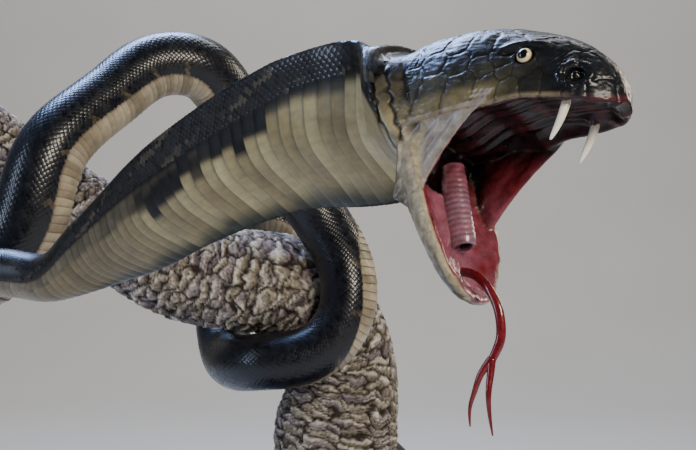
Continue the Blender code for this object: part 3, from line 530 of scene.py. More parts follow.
# The edges of the belly band: distance along the spine, and the turns round the body in
# degrees where the band starts and ends. On the hood it leans over to the side seen
BELLY_BAND = (
    (0.000, 176.0, 352.0),
    (0.008, 190.0, 352.0),
    (0.020, 214.0, 352.0),
    (0.045, 231.0, 353.0),
    (0.075, 232.0, 354.0),
    (0.105, 237.0, 354.0),
    (0.150, 238.0, 355.0),
    (0.195, 237.0, 355.0),
    (0.245, 230.0, 352.0),
    (0.300, 229.0, 344.0),
    (0.360, 226.0, 330.0),
    (0.430, 222.0, 314.0),
    (0.960, 222.0, 312.0),
    (1.020, 222.0, 288.0),
    (1.150, 222.0, 288.0),
    (1.220, 222.0, 312.0),
    (3.200, 222.0, 312.0),
)

# The unwrap of the coat: the body as strips side by side, each scale a small patch
STRIPS = 4
PATCH = 0.003


def body_points(track, bellies, at, turn):
    """Points of the body's surface at distances along the spine and turns round it."""
    at, turn = np.broadcast_arrays(np.asarray(at, float), np.asarray(turn, float))
    points, left, up = frames_along(track, bellies, at)
    half_width, above, below, rib = girth_at(at).T
    across = np.cos(turn)
    dorsal = np.sin(turn) > 0.0
    height = np.where(dorsal, above, below)
    core = np.exp(-(half_width * across / HOOD_CORE) ** 2)
    is_round = smooth_step(0.0, 0.004, half_width - np.maximum(above, HOOD_CORE))
    edge = np.minimum(rib, height)
    profile = edge + (height - edge) * core
    profile = profile * is_round + height * (1.0 - is_round)
    rise = np.sign(np.sin(turn)) * np.sqrt(np.maximum(1.0 - across ** 2, 0.0)) * profile
    ring = points + (half_width * across)[:, None] * left + rise[:, None] * up
    near = at < NAPE_LENGTH
    if near.any():
        axes = head_axes()
        twist = np.arctan2(left[near] @ axes[:, 2], left[near] @ axes[:, 1])
        nape = nape_points(at[near], turn[near] + twist)
        share = 1.0 - np.clip(1.0 - at[near] / NAPE_LENGTH, 0.0, 1.0) ** 2
        ring[near] = nape + (ring[near] - nape) * share[:, None]
    return ring


def nape_points(at, turn):
    """The outline of the back of the head, carried back from it by a distance."""
    table = np.array(HEAD_FORM)
    crown, half_width = eased(table[:, 0], table[:, 1:], np.array([HEAD_BACK]))[0]
    lip = head_lip(HEAD_BACK)
    across = np.sign(np.cos(turn)) * np.abs(np.cos(turn)) ** (2.0 / 3.0) * half_width
    over = lip + np.abs(np.sin(turn)) ** (2.0 / 2.8) * (crown - lip)
    under = lip - np.abs(np.sin(turn)) ** (2.0 / 2.2) * THROAT_DEPTH
    rise = np.where(np.sin(turn) > 0.0, over, under)
    return from_head(np.stack([HEAD_BACK - GAP - at, across, rise], axis=-1))


class Hide:
    """The body's surface, laid out by distance along it and share of its girth.

    The share is 0 in the middle of the belly side, 0.5 along the back.
    """

    def __init__(self, step=0.0015, sides=144):
        self.track, self.bellies = snake_route()
        self.end = self.track.length - 0.001
        self.stops = np.linspace(0.0, self.end, int(self.end / step) + 1)
        self.sides = sides
        fine = 240
        turns = np.radians(-90.0 + 360.0 * np.arange(fine + 1) / fine)
        count = len(self.stops)
        at = np.repeat(self.stops, fine + 1)
        raw = body_points(self.track, self.bellies, at, np.tile(turns, count)).reshape(count, fine + 1, 3)
        walked = np.linalg.norm(np.diff(raw, axis=1), axis=2).cumsum(axis=1)
        walked = np.concatenate([np.zeros((count, 1)), walked], axis=1)
        self.girths = walked[:, -1]
        shares = np.arange(sides + 1) / sides
        self.turns = np.empty((count, sides + 1))
        for i in range(count):
            self.turns[i] = np.interp(shares * self.girths[i], walked[i], turns)
        at = np.repeat(self.stops, sides + 1)
        grid = body_points(self.track, self.bellies, at, self.turns.ravel())
        self.grid = grid.reshape(count, sides + 1, 3)
        along = np.gradient(self.grid, axis=0)
        around = np.empty_like(self.grid)
        around[:, 1:-1] = self.grid[:, 2:] - self.grid[:, :-2]
        around[:, 0] = self.grid[:, 1] - self.grid[:, -2]
        around[:, -1] = around[:, 0]
        self.normals = unit(np.cross(along, around))
        middle = self.grid.mean(axis=1, keepdims=True)
        if ((self.grid - middle) * self.normals).sum() < 0.0:
            self.normals = -self.normals

    def weights(self, at, share):
        """Cells of the layout and the way between their corners."""
        row = np.clip(np.asarray(at) / self.end * (len(self.stops) - 1), 0.0, len(self.stops) - 1.001)
        column = (np.asarray(share) % 1.0) * self.sides
        i = row.astype(int)
        j = np.minimum(column.astype(int), self.sides - 1)
        return i, j, row - i, column - j

    def sample(self, values, at, share):
        """Values of the layout between its points."""
        i, j, a, b = self.weights(at, share)
        if values.ndim > 2:
            a = a[..., None]
            b = b[..., None]
        low = values[i, j] * (1 - b) + values[i, j + 1] * b
        high = values[i + 1, j] * (1 - b) + values[i + 1, j + 1] * b
        return low * (1 - a) + high * a

    def lifted(self, at, share, height):
        """Points that stand a height over the surface."""
        surface = self.sample(self.grid, at, share)
        return surface + self.sample(self.normals, at, share) * np.asarray(height)[..., None]

    def girth(self, at):
        """Length round the body at distances along it."""
        return np.interp(at, self.stops, self.girths)

    def share_at(self, at, degrees):
        """Share of the girth where the body's turn has a value."""
        at = np.atleast_1d(at)
        rows = np.clip((at / self.end * (len(self.stops) - 1)).round().astype(int), 0, len(self.stops) - 1)
        turn = (np.radians(degrees) + math.pi / 2.0) % (2.0 * math.pi) - math.pi / 2.0
        turn = np.broadcast_to(turn, at.shape)
        shares = np.arange(self.sides + 1) / self.sides
        return np.array([np.interp(t, self.turns[r], shares) for t, r in zip(turn, rows)])


KEPT = {}


def kept(maker):
    """What a maker makes, made once and used by every piece that needs it."""
    if maker not in KEPT:
        KEPT[maker] = maker()
    return KEPT[maker]


def mesh_piece(name, points, faces, material, sharp=None):
    """An object of the scene from arrays of points and faces, and the maker of its material."""
    mesh = bpy.data.meshes.new(name)
    points = np.asarray(points, dtype=np.float32)
    mesh.vertices.add(len(points))
    mesh.vertices.foreach_set("co", points.ravel())
    sizes = [np.full(len(block), block.shape[1]) for block in faces]
    sizes = np.concatenate(sizes)
    corners = np.concatenate([block.ravel() for block in faces])
    mesh.loops.add(len(corners))
    mesh.loops.foreach_set("vertex_index", corners.astype(np.int32))
    mesh.polygons.add(len(sizes))
    starts = np.concatenate([[0], np.cumsum(sizes)[:-1]])
    mesh.polygons.foreach_set("loop_start", starts.astype(np.int32))
    mesh.polygons.foreach_set("loop_total", sizes.astype(np.int32))
    mesh.update(calc_edges=True)
    mesh.validate()
    mesh.shade_smooth()
    if sharp is not None:
        mesh.set_sharp_from_angle(angle=math.radians(sharp))
    mesh.materials.append(kept(material))
    made = bpy.data.objects.new(name, mesh)
    bpy.context.scene.collection.objects.link(made)
    return made


def ring_faces(rows, columns, closed=True):
    """Quads between rings of points."""
    i = np.arange(rows - 1)[:, None]
    j = np.arange(columns if closed else columns - 1)[None, :]
    after = (j + 1) % columns
    near, far = i * columns, (i + 1) * columns
    quads = np.stack([near + j, near + after, far + after, far + j], axis=-1)
    return quads.reshape(-1, 4)


def paint(made, name, values):
    """Keep a value or a colour at each point of the piece for its material."""
    values = np.asarray(values, dtype=np.float32)
    if values.ndim == 1:
        layer = made.data.attributes.new(name, "FLOAT", "POINT")
        layer.data.foreach_set("value", values)
    else:
        layer = made.data.attributes.new(name, "FLOAT_COLOR", "POINT")
        full = np.concatenate([values, np.ones((len(values), 1), np.float32)], axis=1)
        layer.data.foreach_set("color", full.ravel())


def coat_map(made, at, share, offsets):
    """Unwrap of the coat: each scale a small patch at its root's place."""
    at = np.asarray(at)
    share = np.asarray(share) % 1.0
    strip_length = 3.2 / STRIPS
    strip = np.floor(at / strip_length)
    u = (at - strip * strip_length) / strip_length * 0.985 + 0.004
    v = (strip + share * 0.97 + 0.01) / STRIPS
    flat = np.stack([u, v], axis=-1) + np.asarray(offsets) * PATCH
    layer = made.data.uv_layers.new(name="OFBake")
    corners = np.empty(len(made.data.loops), dtype=np.int32)
    made.data.loops.foreach_get("vertex_index", corners)
    layer.data.foreach_set("uv", flat[corners].astype(np.float32).ravel())


def rumple(points, size, seed=0.0):
    """Soft noise of a given grain at each point, about -1 to 1."""
    scaled = np.asarray(points) / size + seed
    return np.array([noise.noise(Vector(row)) for row in scaled.tolist()]) * 1.6


def mixed(low, high, share):
    """Blend of two colours, or arrays of them, by a share at each point."""
    share = np.clip(np.asarray(share, dtype=float), 0.0, 1.0)[:, None]
    return np.asarray(low) * (1.0 - share) + np.asarray(high) * share


def draw(count, seed):
    """Repeatable random numbers from 0 to 1."""
    return np.random.default_rng(seed).random(count)


def hex_colour(text):
    """An sRGB hex colour as linear light."""
    channels = [int(text[i:i + 2], 16) / 255.0 for i in (0, 2, 4)]
    return tuple(c / 12.92 if c <= 0.04045 else ((c + 0.055) / 1.055) ** 2.4 for c in channels)


def belly_band(hide, at):
    """Shares of the girth where the belly band starts and ends."""
    table = np.array(BELLY_BAND)
    grid = np.linspace(0.0, hide.end, 400)
    low, high = (hide.share_at(grid, np.interp(grid, table[:, 0], table[:, i])) for i in (1, 2))
    low = low - 1.0
    high = (high + 0.5) % 1.0 - 0.5
    return np.interp(at, grid, low), np.interp(at, grid, high)


def across_belly(hide, at, share):
    """-1 and 1 at the edges of the belly band, 0 in its middle, more beyond it."""
    low, high = belly_band(hide, at)
    middle = 0.5 * (low + high)
    offset = (np.asarray(share) - middle + 0.5) % 1.0 - 0.5
    return offset / (0.5 * (high - low))


def snake_colour(hide, looks, at, share, chance):
    """Colour of skin, scales and scutes alike at places of the body."""
    at = np.asarray(at, dtype=float)
    across = across_belly(hide, at, share)
    round_body = smooth_step(0.30, 0.46, at)
    ragged = 0.06 * np.sin(at * 620.0) + 0.05 * np.sin(at * 1710.0 + 2.0) + 0.10 * (chance - 0.5)

    back = mixed(looks["hood_back"], looks["back"], round_body)
    back = back * (0.62 + 0.80 * chance[:, None])
    blotch = np.sin(at * 92.0 + 5.0 * np.sin(across * 2.6)) * np.sin(at * 37.0 + 1.0) + 0.9 * (chance - 0.5)
    pale = 0.40 * smooth_step(0.45, 1.05, blotch)
    back = mixed(back, looks["hood_pale"], pale * (1.0 - round_body))
    beat = (at - 0.455) / BAR_SPACING
    lean = 0.10 * (np.abs(across) - 1.0)
    near = np.abs((beat + lean + 0.5) % 1.0 - 0.5) * BAR_SPACING
    reach = 0.35 + 0.45 * np.sin(np.floor(beat + 0.5) * 2.7) ** 2
    side = smooth_step(1.15 + reach, 1.0, np.abs(across))
    bar = smooth_step(BAR_WIDTH, 0.2 * BAR_WIDTH, near + 0.0015 * (chance - 0.5)) * side * round_body
    back = mixed(back, looks["bar"], 0.34 * bar * smooth_step(2.9, 2.3, at))

    tan = (0.5 + 0.32 * np.sin(at * 173.0 + across * 1.3)
           + 0.3 * np.sin(at * 690.0) * bump_near(across, 0.2, 0.5))
    hood_belly = mixed(looks["hood_scute"], looks["hood_scute_deep"], tan)
    hood_belly = mixed(hood_belly, looks["hood_scute_deep"] * 0.55, 0.85 * smooth_step(0.15, 0.27, at))
    # Lower edge of the hood's belly band: dark scales, painted darker as shade where the hood turns down,
    # with a painted green reflection.
    hood_belly = mixed(hood_belly, looks["hood_edge_shade_and_reflection"], smooth_step(0.42, 0.90, across + ragged))
    table = np.array(HOOD_FACE)
    face = np.interp(at, table[:, 0], table[:, 1])
    hood_belly = mixed(hood_belly, looks["hood_olive"],
        smooth_step(0.09, -0.07, across + 0.6 * ragged - face))
    left = (smooth_step(0.20, 0.24, at) * smooth_step(0.05, -0.10, across - face)
            * (0.4 + 0.5 * np.sin(at * 900.0) ** 2))
    hood_belly = mixed(hood_belly, looks["hood_pale"], left)
    for middle, half_length, start, end in HOOD_PATCHES:
        inside = smooth_step(half_length, 0.7 * half_length, np.abs(at - middle) + 0.012 * ragged)
        inside = inside * smooth_step(end + 0.09, end - 0.07, across + 1.6 * ragged)
        inside = inside * smooth_step(start - 0.08, start + 0.08, across + ragged)
        hood_belly = mixed(hood_belly, looks["patch"], inside)
    hood_belly = mixed(hood_belly, looks["suture_and_shade"], 0.95 * smooth_step(0.90, 0.98, np.abs(across)))
    brown = 0.5 + 0.5 * np.sin(at * 211.0 + 3.0 * np.sin(at * 47.0)) + 0.4 * (chance - 0.5)
    body_belly = mixed(looks["belly"], looks["belly_deep"], 0.55 * smooth_step(0.2, 1.0, brown))
    belly = mixed(hood_belly, body_belly, round_body)
    belly = belly * (0.86 + 0.28 * chance[:, None])
    return mixed(back, belly, smooth_step(1.02, 0.98, np.abs(across) + 0.25 * ragged * round_body))


def head_ring(ahead, outer_count=97, inner_count=41):
    """Closed ring of the upper head: over the crown from lip to lip, back along the palate."""
    table = np.array(HEAD_FORM)
    crown, half_width = eased(table[:, 0], table[:, 1:], np.array([ahead]))[0]
    snout = np.clip((ahead - SNOUT_START) / (HEAD_LENGTH + 0.0002 - SNOUT_START), 0.0, 1.0)
    crown *= (1.0 - snout ** 2.6) ** (1.0 / 2.6)
    half_width *= (1.0 - snout ** 2.2) ** (1.0 / 2.2)
    lip = head_lip(ahead)
    crown = max(crown, lip + 0.0006)
    turn = np.linspace(0.0, math.pi, outer_count)
    side = np.sign(np.cos(turn)) * np.abs(np.cos(turn)) ** (2.0 / 3.0)
    over = np.sin(turn) ** (2.0 / 2.8)
    outer = np.stack([side * half_width, lip + over * (crown - lip)], axis=-1)
    brow = 0.0012 * math.exp(-((ahead - EYE_PLACE[0] - 0.001) / 0.007) ** 2)
    lift = np.exp(-((outer[:, 1] - EYE_PLACE[2] - 0.0062) / 0.0030) ** 2)
    outer[:, 0] += brow * lift * np.sign(outer[:, 0])
    hollow = smooth_step(0.014, 0.030, ahead) * smooth_step(HEAD_LENGTH - 0.002, HEAD_LENGTH - 0.012, ahead)
    wall = min(LIP_THICKNESS, half_width * 0.3)
    ways = np.linspace(-1.0, 1.0, inner_count)
    floor = lip - 0.0002 + hollow * PALATE_DEPTH * (1.0 - ways ** 4)
    ring = np.concatenate([outer, np.stack([ways * (half_width - wall), floor], axis=-1)])
    return np.stack([np.full(len(ring), ahead), ring[:, 0], ring[:, 1]], axis=-1)


def jaw_ring(ahead, outer_count=71, inner_count=41):
    """Closed ring of the lower jaw: under the chin from lip to lip, back along the floor."""
    table = np.array(JAW_FORM)
    depth, half_width = eased(table[:, 0], table[:, 1:], np.array([ahead]))[0]
    tip = np.clip((ahead - JAW_TIP_START) / (JAW_LENGTH + 0.0002 - JAW_TIP_START), 0.0, 1.0)
    depth *= (1.0 - tip ** 3.0) ** (1.0 / 3.0)
    half_width *= (1.0 - tip ** 2.5) ** (1.0 / 2.5)
    turn = np.linspace(0.0, math.pi, outer_count)
    side = np.sign(np.cos(turn)) * np.abs(np.cos(turn)) ** (2.0 / 2.6)
    outer = np.stack([-side * half_width, -np.sin(turn) ** (2.0 / 2.4) * depth], axis=-1)
    hollow = smooth_step(-0.002, 0.010, ahead) * smooth_step(JAW_LENGTH - 0.001, JAW_LENGTH - 0.012, ahead)
    wall = min(JAW_LIP, half_width * 0.35)
    ways = np.linspace(1.0, -1.0, inner_count)
    floor = 0.0004 - hollow * min(JAW_TROUGH, depth * 0.6) * (1.0 - ways ** 4)
    ring = np.concatenate([outer, np.stack([ways * (half_width - wall), floor], axis=-1)])
    rise = JAW_LEFT_RISE * smooth_step(-0.002, 0.014, ahead) * smooth_step(JAW_LENGTH, 0.036, ahead)
    ring[:, 1] += rise * smooth_step(0.25, 0.9, ring[:, 0] / half_width)
    return np.stack([np.full(len(ring), ahead), ring[:, 0], ring[:, 1]], axis=-1)


def cheek_ring(level, count=61):
    """Closed ring of the cheeks: right cheek, back of the throat, left cheek, and back inside."""
    walk = np.linspace(-0.5, 0.5, count)
    side = np.clip(walk / THROAT_SHARE, -1.0, 1.0)
    reach = np.clip((np.abs(walk) - THROAT_SHARE) / (0.5 - THROAT_SHARE), 0.0, 1.0)
    back = HEAD_BACK - 0.001
    inner_back = HEAD_BACK + 0.0001 + THROAT_WALL
    part = (level - CHEEK_TOP[1]) / (CHEEK_LOW[1] - CHEEK_TOP[1])
    below = np.clip(part, 0.0, 1.0)
    front = CHEEK_TOP[0] + (CHEEK_LOW[0] - CHEEK_TOP[0]) * part - CHEEK_HOLLOW * 4.0 * below * (1.0 - below)
    fronts = front + LEFT_CHEEK_REACH * np.maximum(side, 0.0)
    half_width = CHEEK_HALF_WIDTH - CHEEK_NARROWING * below
    outer = np.stack([back + (fronts - back) * reach, side * half_width], axis=-1)
    inner_ahead = np.maximum(inner_back + (fronts - inner_back) * reach, inner_back)
    inner_side = side * (half_width - CHEEK_WALL - THROAT_TAPER * (1.0 - reach))
    inner = np.stack([inner_ahead, inner_side], axis=-1)
    ring = np.concatenate([outer, inner[::-1]])
    return np.stack([ring[:, 0], ring[:, 1], np.full(len(ring), level)], axis=-1)


def closed_loft(rings):
    """Points and faces of a solid through rings, with fans over its ends."""
    rings = np.asarray(rings)
    rows, columns = rings.shape[:2]
    points = np.concatenate([rings.reshape(-1, 3), rings[[0, -1]].mean(axis=1)])
    j = np.arange(columns)
    after = (j + 1) % columns
    first = np.full(columns, rows * columns)
    low = np.stack([after, j, first], axis=-1)
    high = np.stack([j, after], axis=-1) + (rows - 1) * columns
    high = np.concatenate([high, (first + 1)[:, None]], axis=-1)
    return points, ring_faces(rows, columns), np.concatenate([low, high])


# Parts of the front of the snake, for its paint and its folds
CROWN, PALATE, CHIN, FLOOR, CHEEK, THROAT, NECK = range(7)


def front_shell(hide, grain):
    """Head, jaw, cheeks and neck as one closed skin, with the part each point belongs to."""
    pieces = []
    kinds = []
    ease = np.linspace(0.0, 1.0, 120)
    ahead = HEAD_BACK - 0.002 + (HEAD_LENGTH - HEAD_BACK + 0.002) * (1.0 - (1.0 - ease) ** 1.6)
    pieces.append([from_head(head_ring(x)) for x in ahead])
    kinds.append([CROWN] * 97 + [PALATE] * 41)
    ahead = JAW_BACK + (JAW_LENGTH - JAW_BACK) * (1.0 - (1.0 - ease) ** 1.5)
    pieces.append([from_head(from_jaw(jaw_ring(x))) for x in ahead])
    kinds.append([CHIN] * 71 + [FLOOR] * 41)
    pieces.append([from_head(cheek_ring(z)) for z in np.linspace(*CHEEK_HEIGHTS, 70)])
    kinds.append([CHEEK] * 61 + [THROAT] * 61)
    neck = []
    for at in np.linspace(-0.0025, FRONT_END, 60):
        tuck = 0.0014 * smooth_step(FRONT_END - 0.004, FRONT_END, at)
        turns = 2.0 * math.pi * (np.arange(150) + 0.5) / 150
        ring = body_points(hide.track, hide.bellies, np.full(150, max(at, 0.0)), turns)
        if at < 0.0:
            ring = ring - at * head_axes()[:, 0]
        middle = ring.mean(axis=0)
        neck.append(ring - unit(ring - middle) * tuck)
    pieces.append(neck)
    kinds.append([NECK] * 150)

    places = np.concatenate([np.asarray(rings).reshape(-1, 3) for rings in pieces])
    labels = np.concatenate([np.tile(kind, len(rings)) for rings, kind in zip(pieces, kinds)])
    raw = joined_loft("front_raw", pieces, skin_material)
    fuse = raw.modifiers.new("fuse", "REMESH")
    fuse.mode = "VOXEL"
    fuse.voxel_size = grain
    graph = bpy.context.evaluated_depsgraph_get()
    result = bpy.data.meshes.new_from_object(raw.evaluated_get(graph))
    co = np.empty(len(result.vertices) * 3, np.float32)
    result.vertices.foreach_get("co", co)
    co = co.reshape(-1, 3).astype(float)
    corners = np.empty(len(result.loops), np.int32)
    result.loops.foreach_get("vertex_index", corners)
    faces = corners.reshape(-1, 4)
    bpy.data.meshes.remove(result)
    bpy.data.meshes.remove(raw.data)

    tree = KDTree(len(places))
    for i, place in enumerate(places.tolist()):
        tree.insert(place, i)
    tree.balance()
    nearest = np.array([tree.find(row)[1] for row in co.tolist()])
    return co, faces, labels[nearest]


def face_edges(faces):
    """Each edge of the quads once."""
    pairs = np.concatenate([faces[:, [0, 1]], faces[:, [1, 2]], faces[:, [2, 3]], faces[:, [3, 0]]])
    return np.unique(np.sort(pairs, axis=1), axis=0)


def relaxed(values, edges, rounds, share=0.5):
    """Values drawn towards the mean of their neighbours."""
    values = np.array(values, dtype=float)
    flat = values.reshape(len(values), -1)
    ends = np.concatenate([edges[:, 0], edges[:, 1]])
    others = np.concatenate([edges[:, 1], edges[:, 0]])
    count = np.maximum(np.bincount(ends, minlength=len(flat)), 1)
    for _ in range(rounds):
        for c in range(flat.shape[1]):
            mean = np.bincount(ends, weights=flat[others, c], minlength=len(flat)) / count
            flat[:, c] += share * (mean - flat[:, c])
    return flat.reshape(values.shape)


def outward(points, faces):
    """Direction away from the surface at each point."""
    a, b, c, d = (points[faces[:, i]] for i in range(4))
    normal = np.cross(c - a, d - b)
    total = np.zeros_like(points)
    for i in range(4):
        for axis in range(3):
            total[:, axis] += np.bincount(faces[:, i], weights=normal[:, axis], minlength=len(points))
    return unit(total + 1e-12)


def nearest_two(points, seeds):
    """Distance to the nearest seed, how much farther the next one is, and its number."""
    first = np.full(len(points), 1e9)
    second = np.full(len(points), 1e9)
    which = np.zeros(len(points), dtype=int)
    for i, seed in enumerate(seeds):
        gap = np.linalg.norm(points - seed, axis=1)
        closer = gap < first
        second = np.where(closer, first, np.minimum(second, gap))
        which = np.where(closer, i, which)
        first = np.where(closer, gap, first)
    return first, second - first, which


def both_sides(places):
    """Places of the right side with their mirror images."""
    rows = [(x, -y, z) for x, y, z in places]
    rows += [(x, y, z) for x, y, z in places if y > 0.001]
    return np.array(rows)


def bump_near(value, middle, width):
    """1 at the middle, falling off softly within the width."""
    return np.exp(-((value - middle) / width) ** 2)


class Front:
    """The front of the skin while it is shaped: its places, parts, noise and relief.

    Each part is a mask from 0 to 1. Lift moves a point outward and slide moves it
    towards the middle of the head, and the functions below add to both.
    """

    def __init__(self, co, faces, kinds):
        edges = face_edges(faces)
        co = relaxed(co, edges, 5)
        masks = relaxed(np.eye(7)[kinds], edges, 5)
        self.crown, self.palate, self.chin, self.floor, self.cheek, self.throat, self.neck = masks.T
        head = (co - np.array(HEAD_PLACE)) @ head_axes()
        nape = smooth_step(0.013, 0.002, head[:, 0]) * smooth_step(-0.045, -0.030, head[:, 0])
        nape = nape * smooth_step(-0.012, -0.002, head[:, 2]) * np.clip(self.crown + self.neck, 0.0, 1.0)
        soft = relaxed(co, edges, 110, 0.9)
        co = co + (soft - co) * nape[:, None]
        soft = relaxed(co, edges, 22, 0.8)
        self.co = co + (soft - co) * np.clip(self.cheek + self.throat, 0.0, 1.0)[:, None]
        self.head = (self.co - np.array(HEAD_PLACE)) @ head_axes()
        self.jaw = (self.head - np.array(HINGE)) @ np.array([
            [math.cos(GAPE), 0.0, math.sin(GAPE)],
            [0.0, 1.0, 0.0],
            [-math.sin(GAPE), 0.0, math.cos(GAPE)],
        ])
        self.out = np.abs(self.head[:, 1]) > 0.012
        self.lift = np.zeros(len(co))
        self.slide = np.zeros(len(co))
        self.coarse = rumple(self.co, 0.0040)
        self.fine = rumple(self.co, 0.0012, 5.0)
        self.streak = rumple(self.head * (0.35, 1.0, 1.0), 0.0014, 7.0)


def raise_plates(front):
    """Plates of the crown, the lips and the lower jaw, with seams between them."""
    head, jaw, crown, chin = front.head, front.jaw, front.crown, front.chin
    wobble = np.stack([
        rumple(head, 0.007, float(i)) + 0.4 * rumple(head, 0.0022, 4.0 + i) for i in range(3)], axis=-1)
    _, margin, which = nearest_two(head + 0.0011 * wobble, both_sides(HEAD_PLATES))
    front.plate_chance = draw(200, 11)[which]
    front.groove = np.exp(-(margin / 0.00070) ** 2) * crown
    edge = 0.00018 * smooth_step(0.0, 0.0026, margin) - 0.00017 * np.exp(-(margin / 0.0006) ** 2)
    front.lift += crown * edge
    front.lift += crown * (0.00016 * front.coarse + 0.00010 * front.streak)
    _, margin, which = nearest_two(jaw + 0.0010 * wobble, both_sides(JAW_PLATES))
    front.jaw_chance = draw(200, 12)[which]
    front.jaw_groove = np.exp(-(margin / 0.0008) ** 2) * chin
    front.lift += chin * (0.00010 * smooth_step(0.0, 0.0025, margin) - 0.00012 * front.jaw_groove
                          + 0.00018 * front.coarse)


def sink_eyes(front):
    """A rim of lid scales round each sunk socket, under a brow fold."""
    crown, out = front.crown, front.out
    x = front.head[:, 0] - EYE_PLACE[0]
    z = front.head[:, 2] - EYE_PLACE[2]
    around = np.sqrt(x ** 2 + z ** 2)
    front.socket = smooth_step(0.0036, 0.0027, around) * crown * out
    front.lift += crown * out * 0.00055 * bump_near(around, 0.0042, 0.0007)
    front.slide -= 0.0034 * front.socket
    line = 0.0060 - 16.0 * (x - 0.001) ** 2
    brow = bump_near(z, line, 0.0013) * smooth_step(0.0130, 0.006, np.abs(x + 0.001)) * crown * out
    front.lift += 0.0012 * brow
    front.under_brow = (bump_near(z, line - 0.0023, 0.0011)
                        * smooth_step(0.0115, 0.006, np.abs(x + 0.001)) * crown * out)
    front.lift -= 0.00075 * front.under_brow
    behind = np.exp(-((x + 0.0075) / 0.0040) ** 2 - ((z - 0.0030) / 0.0022) ** 2) * crown * out
    before = np.exp(-((x - 0.0085) / 0.0030) ** 2 - ((z - 0.0010) / 0.0018) ** 2)
    front.hollow = behind + 0.7 * before * crown * out
    front.lift -= 0.0007 * front.hollow


def sink_nostrils(front):
    """Nostrils in a moist and wrinkled swelling."""
    crown, out = front.crown, front.out
    x = (front.head[:, 0] - NOSTRIL_PLACE[0]) / 0.0038
    z = (front.head[:, 2] - NOSTRIL_PLACE[2] - 0.0008) / 0.0034
    around = np.sqrt(x ** 2 + z ** 2)
    front.nostril = smooth_step(1.0, 0.60, around) * crown * out
    front.slide -= 0.0032 * front.nostril
    rim = bump_near(around, 1.45, 0.34) * crown * out
    front.lift += (0.00062 + 0.00028 * front.coarse) * rim
    front.moist = smooth_step(3.2, 1.2, around) * crown * out
    front.lift += 0.00022 * front.moist * front.fine


def fold_corners(front):
    """Lips, the folds behind the mouth's corner and across the nape."""
    x, _, z = front.head.T
    coarse = front.coarse
    front.lip_height = z - np.array([head_lip(v) for v in np.round(x, 4)])
    front.folds = np.clip(np.sin((x + 0.40 * z + 0.0012 * coarse) / 0.0012), 0.0, 1.0) ** 2
    creases = smooth_step(0.008, -0.002, x) * smooth_step(-0.030, -0.014, x) * (front.crown + front.neck)
    front.creases = creases * smooth_step(0.034, 0.016, z)
    front.lift -= 0.0006 * front.creases * front.folds
    front.strand = np.sin((x - 0.733 * z + 0.0006 * coarse) / 0.0011)
    front.lift += front.cheek * 0.00016 * front.strand
    front.lift += front.throat * (0.0005 * np.sin((x - 0.6 * z) / 0.0019 + coarse) + 0.0002 * coarse)


def ridge_inside(front):
    """Ridges of the palate, swellings at the fangs, and folds beside the windpipe."""
    x, y, _ = front.head.T
    xj, yj, _ = front.jaw.T
    palate, floor = front.palate, front.floor
    front.lift += palate * (0.0009 * bump_near(np.abs(y), 0.0048, 0.0014)
                            + 0.0008 * bump_near(np.abs(y), 0.0112, 0.0018))
    front.lift += palate * 0.00006 * front.coarse
    front.lift += palate * 0.0016 * np.exp(
        -((x - FANG_ROOT[0]) ** 2 + (np.abs(y) - FANG_ROOT[1]) ** 2) / 0.0036 ** 2)
    front.lift += floor * (0.0008 * bump_near(np.abs(yj), 0.0115, 0.0018) + 0.00016 * front.coarse)
    front.lift += floor * 0.0034 * np.exp(-(yj / 0.0075) ** 4) * smooth_step(0.052, 0.040, xj)
    front.lift += floor * 0.00018 * np.sin(yj / 0.0011 + front.coarse)


def crown_colour(front, looks):
    """Colour of the head's plates, with seams, rear lips, and painted shade in the eye sockets, under the
    brows, in the hollows by the eyes, in the nostrils and in the neck's creases.
    """
    x, _, z = front.head.T
    coarse, lip_height = front.coarse, front.lip_height
    colour = np.tile(looks["plate"], (len(x), 1))
    colour = colour * (0.75 + 0.45 * front.plate_chance[:, None] + 0.30 * front.streak[:, None])
    low = smooth_step(0.022, 0.006, z) * smooth_step(0.066, 0.040, x)
    colour = mixed(colour, looks["plate_olive"], low * (0.55 + 0.5 * front.plate_chance + 0.3 * coarse))
    rear_lip = smooth_step(0.046, 0.034, x) * smooth_step(0.0125, 0.0060, lip_height + 0.001 * coarse)
    colour = mixed(colour, looks["lip"], 0.60 * rear_lip)
    thin_lip = smooth_step(0.0026, 0.0008, lip_height) * smooth_step(0.072, 0.060, x)
    colour = mixed(colour, looks["jaw_deep"], 0.75 * thin_lip)
    colour = mixed(colour, looks["flesh"],
                   0.4 * smooth_step(0.0026, 0.0008, lip_height) * smooth_step(0.070, 0.078, x))
    colour = mixed(colour, looks["suture_and_shade"], 0.60 * front.groove)
    # Painted shade: the eye sockets, the groove under each brow, the hollows beside the eyes and the
    # nostril pits are painted near black.
    dark = front.socket + 0.75 * front.under_brow + 0.75 * front.hollow + front.nostril
    colour = mixed(colour, looks["suture_and_shade"], 0.95 * np.clip(dark, 0.0, 1.0))
    # Painted shade in the valleys of the neck's creases.
    return mixed(colour, looks["suture_and_shade"], 0.75 * front.creases * front.folds)


